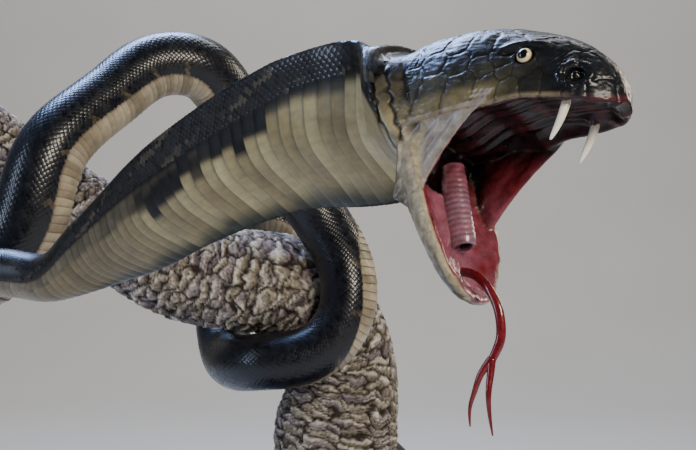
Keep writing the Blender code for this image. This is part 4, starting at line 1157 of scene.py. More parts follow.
def chin_colour(front, looks):
    """Colour of the lower jaw outside, with its spots and painted shade in the corner of the mouth."""
    x, _, z = front.head.T
    xj, _, zj = front.jaw.T
    coarse = front.coarse
    tone = mixed(looks["jaw"], looks["jaw_deep"],
                 0.35 + 0.35 * coarse + 0.20 * (front.jaw_chance - 0.5) + 0.25 * front.streak)
    spots = (smooth_step(0.048, 0.062, xj + 0.004 * coarse)
             * smooth_step(-0.0015, -0.0035, zj + 0.001 * coarse))
    tone = mixed(tone, looks["jaw_mark"], 0.80 * spots)
    tone = mixed(tone, looks["jaw_mark"], 0.22 * front.jaw_groove)
    tone = mixed(tone, looks["jaw_mark"], 0.8 * smooth_step(-0.0075, -0.0115, zj + 0.001 * coarse))
    # Painted shade: the corner of the mouth, where jaw, cheek and head meet, is painted near black.
    corner = np.exp(-((x - 0.006) / 0.0035) ** 2 - ((z + 0.0085) / 0.0035) ** 2)
    return mixed(tone, looks["suture_and_shade"], 0.9 * corner)


def mouth_layers(front, looks):
    """Masks and colours of lower jaw, cheek and the mouth's inside, in the order they are laid."""
    x, _, z = front.head.T
    xj, yj, _ = front.jaw.T
    coarse = front.coarse
    jaw = chin_colour(front, looks)
    # The deeper membrane tone follows random mottling, and it is also painted darker in the fold valleys as
    # shade.
    cheek = mixed(looks["membrane"], looks["membrane_deep"], 0.35 + 0.35 * coarse - 0.2 * front.strand)
    behind = smooth_step(0.0115, 0.0085, x)[:, None]
    cheek = cheek * (1.0 - behind) + jaw * behind
    # Painted shade: the roof and the back of the mouth are dark flesh painted almost black, as they lie
    # deep in the open mouth.
    inner = mixed(looks["flesh"], looks["palate"], smooth_step(-0.012, 0.000, z + 0.0015 * coarse))
    inner = mixed(inner, looks["floor"],
                  0.5 * smooth_step(-0.018, -0.030, z) * smooth_step(0.010, 0.020, x))
    # Painted shade, darkest towards the back of the mouth.
    inner = mixed(inner, looks["throat"], smooth_step(0.020, 0.010, x))
    edge = smooth_step(0.35, 0.75, np.abs(yj) / 0.021)
    floor = mixed(looks["floor"], looks["flesh"], 0.15 + 0.35 * coarse + 0.6 * edge)
    # Painted shade towards the back of the floor.
    floor = mixed(floor, looks["throat"], smooth_step(0.018, 0.006, xj))
    palate = mixed(looks["palate"], looks["flesh"], 0.10 + 0.25 * coarse)
    return ((front.chin, jaw), (front.cheek, cheek), (front.palate, palate), (front.floor, floor),
            (front.throat, inner))


def nape_colour(front, looks):
    """Colour of the folded neck that joins head and hood, with a painted highlight on the ridges of its
    folds and painted shade in their valleys.
    """
    z = front.head[:, 2]
    coarse, folds = front.coarse, front.folds
    tone = mixed(looks["hood_back"], looks["hood_olive"], np.clip(0.55 + 0.5 * coarse, 0.0, 1.0))
    # Painted highlight: the ridges of the folds are painted pale.
    tone = mixed(tone, looks["hood_pale"], 0.5 * smooth_step(0.45, 0.0, folds + 0.4 * coarse))
    tone = mixed(tone, looks["hood_scute"], 0.5 * smooth_step(0.006, -0.006, z) * (1.0 - folds))
    tone = mixed(tone, looks["hood_back"], smooth_step(0.008, 0.018, z + 0.003 * coarse))
    # Painted shade: the valleys of the folds are painted dark.
    return mixed(tone, looks["suture_and_shade"], 0.55 * folds)


def shape_front(co, faces, kinds, looks):
    """Relief and colours of the front of the skin: moved points, colour and wetness."""
    front = Front(co, faces, kinds)
    for work in (raise_plates, sink_eyes, sink_nostrils, fold_corners, ridge_inside):
        work(front)
    normal = outward(front.co, faces)
    front.lift -= COAT_DEPTH * (0.7 * front.crown + 0.5 * front.chin + 0.5 * front.cheek + front.neck)
    sideways = np.sign(front.head[:, 1])[:, None] * head_axes()[:, 1]
    moved = front.co + normal * front.lift[:, None] + sideways * front.slide[:, None]

    colour = crown_colour(front, looks)
    for mask, tone in mouth_layers(front, looks):
        share = smooth_step(0.25, 0.75, mask)[:, None]
        colour = colour * (1.0 - share) + tone * share
    colour = mixed(colour, nape_colour(front, looks), smooth_step(0.4, 0.9, front.neck))
    colour = colour * (1.0 + 0.10 * front.fine[:, None])
    wet = 0.55 * front.palate + 0.8 * front.floor + 0.7 * front.throat
    wet = wet + front.nostril + 0.8 * front.moist + 0.3 * front.cheek
    return moved, np.clip(colour, 0.0, 1.0), np.clip(wet, 0.0, 1.0)


def build_skin(hide, looks, grain):
    """The one skin of the whole snake, from the snout to the tail's tip."""
    co, faces, kinds = front_shell(hide, grain)
    front, front_colour, front_wet = shape_front(co, faces, kinds, looks)

    columns = SKIN_COLUMNS
    near_step, far_step = SKIN_STEPS
    stops = np.concatenate([
        np.arange(FRONT_END - 0.008, SKIN_WIDER_FROM, near_step),
        np.arange(SKIN_WIDER_FROM, hide.end - 0.003, far_step),
    ])
    stops = np.append(stops, hide.end)
    shares = np.arange(columns) / columns
    at = np.repeat(stops, columns)
    share = np.tile(shares, len(stops))
    depth = np.minimum(COAT_DEPTH, 0.04 * hide.girth(at))
    depth = depth + 0.0013 * smooth_step(FRONT_END - 0.002, FRONT_END - 0.007, at)
    body = hide.lifted(at, share, -depth)
    quads = ring_faces(len(stops), columns) + len(front)
    last = len(front) + (len(stops) - 1) * columns
    tip = len(front) + len(body)
    j = np.arange(columns)
    fan = np.stack([last + j, last + (j + 1) % columns, np.full(columns, tip)], axis=-1)
    chance = 0.35 + 0.3 * draw(len(at), 3)
    body_colour = snake_colour(hide, looks, at, share, chance) * 0.45
    points = np.concatenate([front, body, hide.grid[-1].mean(axis=0, keepdims=True)])
    skin = mesh_piece("snake_skin", points, [faces, quads, fan], skin_material)
    tint = np.concatenate([front_colour, body_colour, body_colour[-1:]])
    paint(skin, "tint", tint)
    paint(skin, "wet", np.concatenate([front_wet, np.zeros(len(at) + 1)]))
    return skin


def column_count(at):
    """How many columns of scales lie beside each other at a distance along the body."""
    count = SCALE_COLUMNS[0][1]
    for start, columns in SCALE_COLUMNS:
        if at >= start:
            count = columns
    return count


def scale_places(hide, start, end):
    """Middle of each back scale: distance, share of the girth, half sizes, chance."""
    rows = []
    at = start
    parity = 0
    low_edge, high_edge = belly_band(hide, hide.stops)
    while at < end:
        columns = column_count(at)
        low = np.interp(at, hide.stops, low_edge)
        high = np.interp(at, hide.stops, high_edge)
        free = 1.0 + low - high
        girth = hide.girth(at)
        wide = free * girth / columns
        number = np.arange(parity, columns, 2)
        share = high + (number + 0.5) / columns * free
        block = np.empty((len(number), 4))
        block[:, 0] = at
        block[:, 1] = share
        block[:, 2] = wide * SCALE_LENGTH_RATIO
        block[:, 3] = wide / girth
        rows.append(block)
        at += wide * SCALE_LENGTH_RATIO * 0.5
        parity = 1 - parity
    return np.concatenate(rows)


# One back scale seen from above: along, across and height. The front is tucked under
SCALE_FORM = np.array([
    (-0.62, 0.00, 0.10), (-0.42, 0.50, 0.18), (-0.02, 0.96, 0.30), (0.34, 0.62, 0.52),
    (0.58, 0.00, 0.66), (0.34, -0.62, 0.52), (-0.02, -0.96, 0.30), (-0.42, -0.50, 0.18),
    (-0.22, 0.00, 0.62), (0.22, 0.00, 0.92), (-0.02, 0.96, -0.40), (0.34, 0.62, -0.40),
    (0.58, 0.00, -0.40), (0.34, -0.62, -0.40), (-0.02, -0.96, -0.40),
])
SCALE_TOP = np.array([
    (0, 8, 1), (1, 8, 2), (2, 8, 9), (2, 9, 3), (3, 9, 4),
    (4, 9, 5), (5, 9, 6), (6, 9, 8), (6, 8, 7), (7, 8, 0),
])
SCALE_RIM = np.array([(2, 3, 11, 10), (3, 4, 12, 11), (4, 5, 13, 12), (5, 6, 14, 13)])


def scale_piece(hide, looks, name, start, end, seed):
    """Back scales of one stretch of the body as one mesh of raised plates."""
    places = scale_places(hide, start, end)
    count = len(places)
    chance = draw(count, seed)
    jitter = draw(count, seed + 1) - 0.5
    form = SCALE_FORM
    at = places[:, :1] + form[:, 0] * places[:, 2:3] * (1.0 + 0.06 * jitter[:, None])
    share = places[:, 1:2] + form[:, 1] * places[:, 3:4]
    at = np.clip(at, 0.0, hide.end)
    thick = np.minimum(SCALE_THICKNESS, 0.03 * hide.girth(places[:, 0]))[:, None]
    thick = thick * (1.0 - 0.45 * smooth_step(0.42, 0.36, places[:, :1]))
    inset = np.minimum(COAT_DEPTH, 0.04 * hide.girth(places[:, 0]))[:, None]
    height = form[:, 2] * thick * (0.85 + 0.3 * chance[:, None]) - inset
    points = hide.lifted(at.ravel(), share.ravel(), height.ravel())
    base = np.arange(count)[:, None, None] * len(form)
    top = (SCALE_TOP[None] + base).reshape(-1, 3)
    rim = (SCALE_RIM[None] + base).reshape(-1, 4)
    piece = mesh_piece(name, points, [top, rim], scale_material, sharp=38.0)
    colour = snake_colour(hide, looks, places[:, 0], places[:, 1], chance)
    colour = np.repeat(colour, len(form), axis=0)
    # Painted light and shade on each scale: the raised apex is painted lighter as a highlight, and the
    # tucked front and the rim under the rear edge are painted darker as shade.
    edge = np.tile(np.array([
        0.62, 0.75, 0.80, 0.95, 0.95, 0.95, 0.80, 0.75, 1.0, 1.10, 0.3, 0.3, 0.3, 0.3, 0.3]), count)
    paint(piece, "tint", np.clip(colour * edge[:, None], 0.0, 1.0))
    paint(piece, "chance", np.repeat(chance, len(form)))
    spread = np.clip(form[:, :2] * (0.8, 0.5), -0.5, 0.5)
    coat_map(piece, np.repeat(places[:, 0], len(form)), np.repeat(places[:, 1], len(form)),
        np.tile(spread, (count, 1)))
    return piece


def scute_piece(hide, looks, name, start, end, pitch, columns, seed):
    """Belly scutes of one stretch: wide curved plates, each over the next one's front."""
    low, high = belly_band(hide, hide.stops)
    rows = [(-0.10, 0.05), (0.25, 0.45), (0.62, 0.80), (0.92, 1.0), (1.00, 0.92), (1.02, -0.2)]
    blocks = []
    at = start
    while at < end:
        step = min(pitch, max(0.0022, 0.06 * float(hide.girth(at))))
        blocks.append((at, step))
        at += step
    blocks = np.array(blocks)
    count = len(blocks)
    across = np.linspace(-1.0, 1.0, columns)
    drop = 1.0 - np.abs(across) ** 6
    along = np.array([row[0] for row in rows])
    rise = np.array([row[1] for row in rows])
    low = np.interp(blocks[:, 0], hide.stops, low)
    high = np.interp(blocks[:, 0], hide.stops, high)
    middle = 0.5 * (low + high)
    half = 0.5 * (high - low) * 1.03
    chance = draw(count, seed)
    tilt = (draw(count, seed + 7) - 0.5) * 0.16
    at = blocks[:, 0, None, None] + blocks[:, 1, None, None] * (
        along[None, :, None] - 0.22 * (across ** 2)[None, None, :]
        + tilt[:, None, None] * across[None, None, :])
    at = np.clip(at, 0.0, hide.end)
    share = middle[:, None, None] + half[:, None, None] * across[None, None, :]
    share = np.broadcast_to(share, at.shape)
    thick = np.minimum(SCUTE_THICKNESS, 0.028 * hide.girth(blocks[:, 0]))[:, None, None]
    inset = np.minimum(COAT_DEPTH, 0.04 * hide.girth(blocks[:, 0]))[:, None, None]
    height = thick * (rise[None, :, None] * (0.25 + 0.75 * drop[None, None, :])) - inset
    points = hide.lifted(at.ravel(), share.ravel(), height.ravel())
    size = len(rows) * columns
    quads = ring_faces(len(rows), columns, closed=False)
    faces = (quads[None] + np.arange(count)[:, None, None] * size).reshape(-1, 4)
    piece = mesh_piece(name, points, [faces[:, ::-1]], scute_material, sharp=55.0)
    places = np.repeat(blocks[:, 0], size)
    tone = np.repeat(chance, size)
    colour = snake_colour(hide, looks, places, share.ravel(), tone)
    streak = np.sin(share.ravel() * 330.0 + 7.0 * tone) * np.sin(share.ravel() * 127.0 + 3.0 * tone)
    colour = colour * (1.0 + 0.07 * streak[:, None])
    # Painted light and shade on each scute: the raised rear edge is painted lighter as a highlight, and the
    # tucked front, the face of the rear edge and the part under it are painted darker as shade.
    line = np.tile(np.repeat(np.array([0.62, 0.94, 1.0, 1.05, 0.66, 0.30]), columns), count)
    paint(piece, "tint", np.clip(colour * line[:, None], 0.0, 1.0))
    offsets = np.stack(np.broadcast_arrays((along - 0.5)[:, None] * 0.9, 0.45 * across[None, :]),
        axis=-1).reshape(-1, 2)
    coat_map(piece, places, share.ravel(), np.tile(offsets, (count, 1)))
    return piece


def eyeball(name, side):
    """An eye turned outward, with a slight bulge in front, marked for its pupil and iris."""
    centre = from_head([(EYE_PLACE[0], side * EYE_PLACE[1], EYE_PLACE[2])])[0]
    axes = head_axes()
    out = unit(side * axes[:, 1] + 0.12 * axes[:, 0])
    over = unit(np.cross(out, axes[:, 0]))
    ahead = np.cross(over, out)
    rows, columns = 49, 64
    angle = np.linspace(0.0, math.pi, rows)
    turn = even_turns(columns)
    bulge = 1.0 + 0.05 * np.exp(-(angle / 0.55) ** 2)
    reach = (EYE_RADIUS * bulge * np.sin(angle))[:, None]
    depth = (EYE_RADIUS * bulge * np.cos(angle))[:, None]
    points = centre + reach[..., None] * (
        np.cos(turn)[None, :, None] * ahead + np.sin(turn)[None, :, None] * over) + depth[..., None] * out
    made = mesh_piece(name, points.reshape(-1, 3), [ring_faces(rows, columns)], eye_material)
    paint(made, "off_axis", np.repeat(np.degrees(angle), columns))
    paint(made, "spoke", np.tile(turn, rows))
    return made


def even_turns(count):
    """The turns of points spread evenly round a circle."""
    return 2.0 * math.pi * np.arange(count) / count


def smooth_tube(places, radii, sides=24, flat=1.0, guide=(0.3, 0.9, 0.2), step=0.0005):
    """Rings of a tapering tube through places, wider than high where flat is under 1."""
    track = Track(places, step=step)
    stops = np.linspace(0.0, track.length, len(radii))
    centres = track.place(stops)
    headings = track.forward(stops)
    side = unit(np.cross(headings, np.array(guide)))
    over = np.cross(headings, side)
    turn = even_turns(sides)
    radii = np.asarray(radii)[:, None, None]
    wide = np.cos(turn)[None, :, None] * side[:, None, :]
    high = np.sin(turn)[None, :, None] * over[:, None, :]
    return centres[:, None, :] + radii * (wide + flat * high)


def joined_loft(name, lofts, material):
    """One piece from several closed lofts."""
    points, quads, fans = [], [], []
    total = 0
    for rings in lofts:
        co, four, three = closed_loft(rings)
        points.append(co)
        quads.append(four + total)
        fans.append(three + total)
        total += len(co)
    return mesh_piece(name, np.concatenate(points), [np.concatenate(quads), np.concatenate(fans)], material)


def fang(name, side):
    """A fang that curves back, from its root in the gum to its tip."""
    ways = np.linspace(-0.12, 1.0, 40)
    places = [
        (FANG_ROOT[0] - FANG_SWEEP * abs(w) ** 1.6, side * FANG_ROOT[1], FANG_ROOT[2] - FANG_LENGTH * w)
        for w in np.linspace(-0.12, 1.0, 8)]
    radii = FANG_WIDTH * np.sqrt(np.clip(1.0 - np.clip(ways, 0.0, 1.0) ** 1.5, 0.0, 1.0)) * 1.02 + 0.00012
    rings = smooth_tube(from_head(places), radii, FANG_SIDES, 0.86)
    made = joined_loft(name, [rings], fang_material)
    way = np.repeat(ways, FANG_SIDES)
    paint(made, "way", np.concatenate([way, [ways[0], ways[-1]]]))
    return made


def fang_sheath(name, side):
    """The fold of gum round the root of a fang."""
    places = [
        (FANG_ROOT[0] - FANG_SWEEP * abs(w) ** 1.6 - 0.0004, side * FANG_ROOT[1],
         FANG_ROOT[2] - FANG_LENGTH * w)
        for w in np.linspace(-0.16, 0.12, 6)]
    radii = 0.0017 + 0.0013 * (1.0 - np.linspace(0.0, 1.0, 18) ** 2.2)
    rings = smooth_tube(from_head(places), radii, FANG_SIDES, 0.9)
    turn = even_turns(FANG_SIDES)
    middle = rings.mean(axis=1, keepdims=True)
    rings = middle + (rings - middle) * (1.0 + 0.09 * np.sin(5.0 * turn + 1.0))[None, :, None]
    made = joined_loft(name, [rings], flesh_material)
    paint(made, "tint", np.tile(hex_colour("4a1a1e"), (len(made.data.vertices), 1)))
    return made


def windpipe_piece(looks):
    """The windpipe with its rings of cartilage, open at its front end."""
    ways = np.linspace(0.0, 1.0, 120)
    places = from_head(from_jaw(WINDPIPE_ROUTE))
    body = np.interp(ways, [0.0, 0.2, 0.5, 0.8, 0.93, 1.0], [0.80, 0.95, 1.0, 1.02, 1.0, 0.90])
    ring = 0.011 * np.sin(ways * 2.0 * math.pi * WINDPIPE_RINGS) * smooth_step(0.97, 0.88, ways)
    outer = smooth_tube(places, WINDPIPE_RADIUS * (body + ring), WINDPIPE_SIDES, 0.84,
        guide=tuple(head_axes()[:, 1]))
    centres = outer.mean(axis=1)
    outlet = centres[-1] - centres[-6]
    outlet = outlet / np.linalg.norm(outlet)
    inward = []
    for depth, size in ((-0.0004, 0.80), (0.0, 0.70), (0.0010, 0.62), (0.0030, 0.55), (0.0070, 0.45)):
        inward.append(centres[-1] + (outer[-1] - centres[-1]) * size - outlet * depth)
    rings = np.concatenate([outer, np.array(inward)])
    made = joined_loft("windpipe_rings", [rings], flesh_material)
    tone = mixed(looks["windpipe"], looks["floor"],
                 0.25 + 0.25 * np.sin(ways * 2.0 * math.pi * WINDPIPE_RINGS + math.pi))
    tone = mixed(tone, looks["flesh"], 0.85 * smooth_step(0.6, 0.1, ways))
    tone = tone * (0.80 + 0.20 * np.sin(ways * 2.0 * math.pi * WINDPIPE_RINGS))[:, None]
    tone = np.repeat(tone, WINDPIPE_SIDES, axis=0)
    patchy = rumple(outer.reshape(-1, 3), 0.0035)
    tone = mixed(tone, looks["floor"], 0.35 + 0.35 * patchy) * (1.0 + 0.12 * patchy[:, None])
    # Painted shade inside the windpipe's opening: each ring further in is darker, down to near black.
    lip = np.array([looks[name] for name in ("windpipe", "floor", "flesh", "throat", "throat")])
    lip = np.repeat(lip, WINDPIPE_SIDES, axis=0)
    lip = lip * np.repeat([1.0, 0.7, 0.4, 0.2, 0.1], WINDPIPE_SIDES)[:, None]
    paint(made, "tint", np.concatenate([tone, lip, tone[:1], lip[-1:]]))
    return made


def tongue_piece(looks):
    """The forked tongue, out over the chin and hanging."""
    radii = TONGUE_WIDTH * np.interp(np.linspace(0, 1, 60), [0, 0.85, 1.0], [1.0, 0.98, 0.80])
    stalk = smooth_tube(TONGUE_STALK, radii, 28, 0.74)
    tines = []
    for route in TONGUE_TINES:
        shrink = np.linspace(0.0, 1.0, 60)
        radii = TONGUE_WIDTH * 0.74 * (1.0 - shrink) ** 0.8 + TINE_WIDTH * 0.30
        tine = smooth_tube(route, radii, 24, 0.85)
        tines.append(tine)
    made = joined_loft("forked_tongue", [stalk] + tines, tongue_material)
    paint(made, "tint", np.tile(looks["tongue"], (len(made.data.vertices), 1)))
    return made


def bark_cells(along, around, length, width, lean, seed):
    """Flaky plates over the bark: distance from the nearest crack, tilt and chance."""
    columns = max(int(round(BARK_GIRTH / width)), 3)
    v = around * columns
    u = along / length + lean * around
    cell_u = np.floor(u)
    cell_v = np.floor(v)
    table = np.random.default_rng(seed).random((512, columns, 4))
    first = np.full(along.shape, 1e9)
    second = np.full(along.shape, 1e9)
    tilt = np.zeros(along.shape)
    chance = np.zeros(along.shape)
    for du in (-1, 0, 1):
        for dv in (-1, 0, 1):
            row = (cell_u + du).astype(int) % 512
            column = (cell_v + dv).astype(int)
            spot = table[row, column % columns]
            near_u = u - (cell_u + du + 0.15 + 0.7 * spot[..., 0])
            near_v = v - (column + 0.15 + 0.7 * spot[..., 1])
            gap = np.sqrt(near_u ** 2 + near_v ** 2)
            closer = gap < first
            second = np.where(closer, first, np.minimum(second, gap))
            tilt = np.where(closer, near_u, tilt)
            chance = np.where(closer, spot[..., 2], chance)
            first = np.where(closer, gap, first)
    return second - first, tilt, chance


def bark_piece(looks):
    """The cut length of branch: flaky bark in overlapping plates, and two sawn ends."""
    track = Track([row[0] for row in BRANCH_ROUTE])
    radii = np.array([row[1] for row in BRANCH_ROUTE])
    columns = BARK_SIDES
    stops = np.linspace(0.0, track.length, int(track.length / 0.0013))
    side = np.array([1.0, 0.0, 0.0])
    centres = track.place(stops)
    headings = track.forward(stops)
    sides = []
    for heading in headings:
        side = unit(side - heading * (side @ heading))
        sides.append(side)
    sides = np.array(sides)
    overs = np.cross(headings, sides)
    radius = track.along_knots(radii, stops)
    turn = even_turns(columns)
    along, around = np.meshgrid(stops, turn / (2.0 * math.pi), indexing="ij")
    ring = np.cos(turn)[None, :, None] * sides[:, None, :] + np.sin(turn)[None, :, None] * overs[:, None, :]
    places = (centres[:, None, :] + radius[:, None, None] * ring).reshape(-1, 3)
    warp = [rumple(places, grain, seed).reshape(along.shape) for grain, seed in
            ((0.012, 0.0), (0.012, 9.0), (0.0045, 3.0), (0.0045, 6.0), (0.0020, 2.0))]
    big, big_tilt, big_chance = bark_cells(
        along + 0.0034 * warp[0] + 0.0007 * warp[2], around + 0.014 * warp[1] + 0.0030 * warp[3],
        0.0078, 0.0230, 6.0, 21)
    mid, mid_tilt, mid_chance = bark_cells(
        along + 0.0030 * warp[0] + 0.0006 * warp[2], around + 0.012 * warp[1] + 0.002 * warp[3],
        0.0030, 0.0120, 9.0, 22)
    flake = 0.0007 * (big_chance - 0.6) + 0.0022 * np.clip(big_tilt, -0.4, 0.4)
    small = 0.0004 * (mid_chance - 0.6) + 0.0005 * np.clip(mid_tilt, -0.5, 0.5) + 0.00012 * warp[4] - 0.0002
    crack = 0.0016 * np.exp(-(big / 0.07) ** 2) + 0.0004 * np.exp(-(mid / 0.12) ** 2)
    ends = smooth_step(0.0, 0.004, along) * smooth_step(track.length, track.length - 0.004, along)
    relief = np.clip(flake + small - crack, -0.0032, 0.0008) * ends - 0.0004
    points = centres[:, None, :] + (radius[:, None] + relief)[..., None] * ring
    # Painted light on the bark: plates are lighter where they tilt up, a painted highlight on their lifted
    # edges, and darker where they sink, painted shade.
    light = np.clip(0.5 + 0.55 * big_tilt + 0.26 * mid_tilt + 0.36 * (mid_chance - 0.5) + 0.12 * warp[4],
        0.0, 1.0)
    tone = mixed(looks["bark"], looks["bark_mauve"], smooth_step(0.35, 0.75, big_chance).ravel())
    tone = mixed(tone, looks["bark_painted_highlight"], (0.9 * smooth_step(0.54, 0.82, light)).ravel())
    # The cracks are dark, partly their own colour and partly painted shade, and the low side of each plate
    # takes painted shade.
    dark = (np.exp(-(big / 0.13) ** 2) + 0.45 * np.exp(-(mid / 0.14) ** 2)
            + 0.55 * smooth_step(0.5, 0.25, light))
    tone = mixed(tone, looks["bark_crack_and_shade"], 0.94 * np.clip(dark, 0.0, 1.0).ravel() ** 1.1)
    bark = mesh_piece("branch_bark", points.reshape(-1, 3), [ring_faces(len(stops), columns)],
        bark_material)
    paint(bark, "tint", tone)
    ends = []
    for index in (0, -1):
        shrink = np.linspace(1.0, 0.0, 40)[:, None, None]
        ends.append(centres[index] + (points[index] - centres[index])[None] * shrink)
    flats = np.concatenate([end.reshape(-1, 3) for end in ends])
    quads = ring_faces(40, columns)
    wood = mesh_piece("branch_sawn_ends", flats, [quads[:, ::-1], quads + 40 * columns], sawn_material)
    distance = np.concatenate(
        [np.linalg.norm(end - centres[i], axis=2).ravel() for end, i in zip(ends, (0, -1))])
    paint(wood, "from_pith", distance)
    return bark, wood


def add_node(tree, kind, settings=None, links=None, feeds=None):
    """Add one node with its settings, the links into its sockets, and the socket it feeds."""
    node = tree.nodes.new(kind)
    for name, value in (settings or {}).items():
        if name == "stops":
            for (position, text), stop in zip(value, [*node.color_ramp.elements] + [None] * len(value)):
                stop = stop or node.color_ramp.elements.new(position)
                stop.position = position
                stop.color = (*hex_colour(text), 1.0)
        elif isinstance(name, str) and hasattr(node, name) and name not in node.inputs:
            setattr(node, name, value)
        else:
            node.inputs[name].default_value = value
    for name, source in (links or {}).items():
        tree.links.new(source.outputs[0] if isinstance(source, bpy.types.Node) else source,
            node.inputs[name])
    if feeds:
        tree.links.new(node.outputs[0], feeds)
    return node


def fresh_material(name, settings):
    """A new material whose shader has the given settings: tree, shader sockets, place socket."""
    made = bpy.data.materials.new(name)
    made.use_nodes = True
    shader = made.node_tree.nodes["Principled BSDF"]
    for socket, value in settings.items():
        shader.inputs[socket].default_value = value
    place = made.node_tree.nodes.new("ShaderNodeTexCoord").outputs["Object"]
    return made, made.node_tree, shader.inputs, place


def clouded(name, settings, cloud, shade, rough, grain, relief):
    """A material coloured by the piece's own tint, mottled, with a broken shine and fine relief."""
    made, tree, shader, place = fresh_material(name, settings)
    tint = add_node(tree, "ShaderNodeAttribute", {"attribute_name": "tint"})
    clouds = add_node(tree, "ShaderNodeTexNoise", {"Scale": cloud, "Detail": 6.0, "Roughness": 0.65},
        {"Vector": place})
    grains = add_node(tree, "ShaderNodeTexNoise", {"Scale": grain, "Detail": 4.0, "Roughness": 0.6},
        {"Vector": place})
    span = {"From Min": 0.3, "From Max": 0.7, "To Min": shade[0], "To Max": shade[1]}
    shades = add_node(tree, "ShaderNodeMapRange", span, {"Value": clouds})
    add_node(tree, "ShaderNodeVectorMath", {"operation": "MULTIPLY"}, {0: tint, 1: shades},
        shader["Base Color"])
    both = add_node(tree, "ShaderNodeMath", {"operation": "MULTIPLY"}, {0: clouds, 1: grains})
    dull = add_node(tree, "ShaderNodeMapRange",
                    {"From Min": 0.15, "From Max": 0.38, "To Min": rough[0], "To Max": rough[1]},
                    {"Value": both}, shader["Roughness"])
    bump = add_node(tree, "ShaderNodeBump", {"Strength": relief[0], "Distance": relief[1]},
                    {"Height": grains}, shader["Normal"])
    return made, tree, shader, place, dull, bump


def skin_material():
    """Thin keratin skin, moist inside the mouth.

    Outside it is dry and finely wrinkled, so its shine is broken up. Inside it is
    wet, which gives small sharp glints over a soft deep colour.
    """
    made, tree, shader, place, dull, bump = clouded(
        "snake_skin_keratin",
        {"IOR": 1.45, "Specular IOR Level": 0.35, "Coat Roughness": 0.14, "Coat IOR": 1.45},
        160.0, (0.70, 1.30), (0.26, 0.50), 900.0, (0.35, 0.0003))
    wet = add_node(tree, "ShaderNodeAttribute", {"attribute_name": "wet"}).outputs["Fac"]
    add_node(tree, "ShaderNodeMix", {"data_type": "FLOAT", 3: 0.26}, {0: wet, 2: dull}, shader["Roughness"])
    add_node(tree, "ShaderNodeMapRange", {"To Min": 0.20, "To Max": 0.40}, {"Value": wet},
        shader["Coat Weight"])
    pores = add_node(tree, "ShaderNodeTexVoronoi", {"feature": "DISTANCE_TO_EDGE", "Scale": 620.0},
        {"Vector": place})
    add_node(tree, "ShaderNodeBump", {"Strength": 0.30, "Distance": 0.0003},
             {"Height": pores, "Normal": bump}, shader["Normal"])
    return made


def scale_material():
    """Smooth keratin back scales, polished by the sloughed skin.

    Dark and lacquer-like: each plate gives its own glint, broader where it is scuffed.
    """
    made, tree, shader, _, dull, _ = clouded(
        "back_scale_keratin",
        {"IOR": 1.50, "Specular IOR Level": 0.35, "Coat Weight": 0.35, "Coat Roughness": 0.07,
         "Coat IOR": 1.5},
        150.0, (0.72, 1.30), (0.20, 0.42), 1400.0, (0.25, 0.0002))
    chance = add_node(tree, "ShaderNodeAttribute", {"attribute_name": "chance"})
    add_node(tree, "ShaderNodeMath", {"operation": "MULTIPLY_ADD", 1: 0.16},
             {0: chance.outputs["Fac"], 2: dull}, shader["Roughness"])
    return made


def scute_material():
    """Broad keratin belly scutes, rubbed smooth by crawling.

    Softer shine than the back, with faint mottling across each plate.
    """
    return clouded(
        "belly_scute_keratin",
        {"IOR": 1.45, "Specular IOR Level": 0.3, "Coat Weight": 0.12, "Coat Roughness": 0.20,
         "Coat IOR": 1.45},
        110.0, (0.76, 1.20), (0.32, 0.54), 700.0, (0.30, 0.0003))[0]


def eye_material():
    """Glass-clear spectacle scale over a gold iris.

    A round dark pupil, a pale gold ring with an uneven edge, and sharp highlights.
    """
    made, tree, shader, place = fresh_material("eye_spectacle", {
        "Roughness": 0.10, "IOR": 1.38, "Coat Weight": 1.0, "Coat Roughness": 0.02, "Coat IOR": 1.45,
    })
    angle = add_node(tree, "ShaderNodeAttribute", {"attribute_name": "off_axis"}).outputs["Fac"]
    spoke = add_node(tree, "ShaderNodeAttribute", {"attribute_name": "spoke"}).outputs["Fac"]
    fibres = add_node(tree, "ShaderNodeTexNoise", {"Scale": 1500.0, "Detail": 4.0}, {"Vector": place})
    spread = add_node(tree, "ShaderNodeMath", {"operation": "MULTIPLY_ADD", 1: 9.0, 2: -4.5}, {0: fibres})
    edge = add_node(tree, "ShaderNodeMath", {"operation": "ADD"}, {0: angle, 1: spread})
    way = add_node(tree, "ShaderNodeMapRange", {"From Min": 0.0, "From Max": 90.0}, {"Value": edge})
    add_node(tree, "ShaderNodeValToRGB", {"stops": (
        (0.0, "050506"), (0.33, "070605"), (0.38, "6f5a34"), (0.46, "efe4bd"),
        (0.64, "e0d2a2"), (0.74, "5c4a2c"), (0.80, "0b0a09"))}, {"Fac": way}, shader["Base Color"])
    lines = add_node(tree, "ShaderNodeMath", {"operation": "SINE"}, {0: spoke})
    add_node(tree, "ShaderNodeBump", {"Strength": 0.06, "Distance": 0.0001}, {"Height": lines},
        shader["Normal"])
    return made


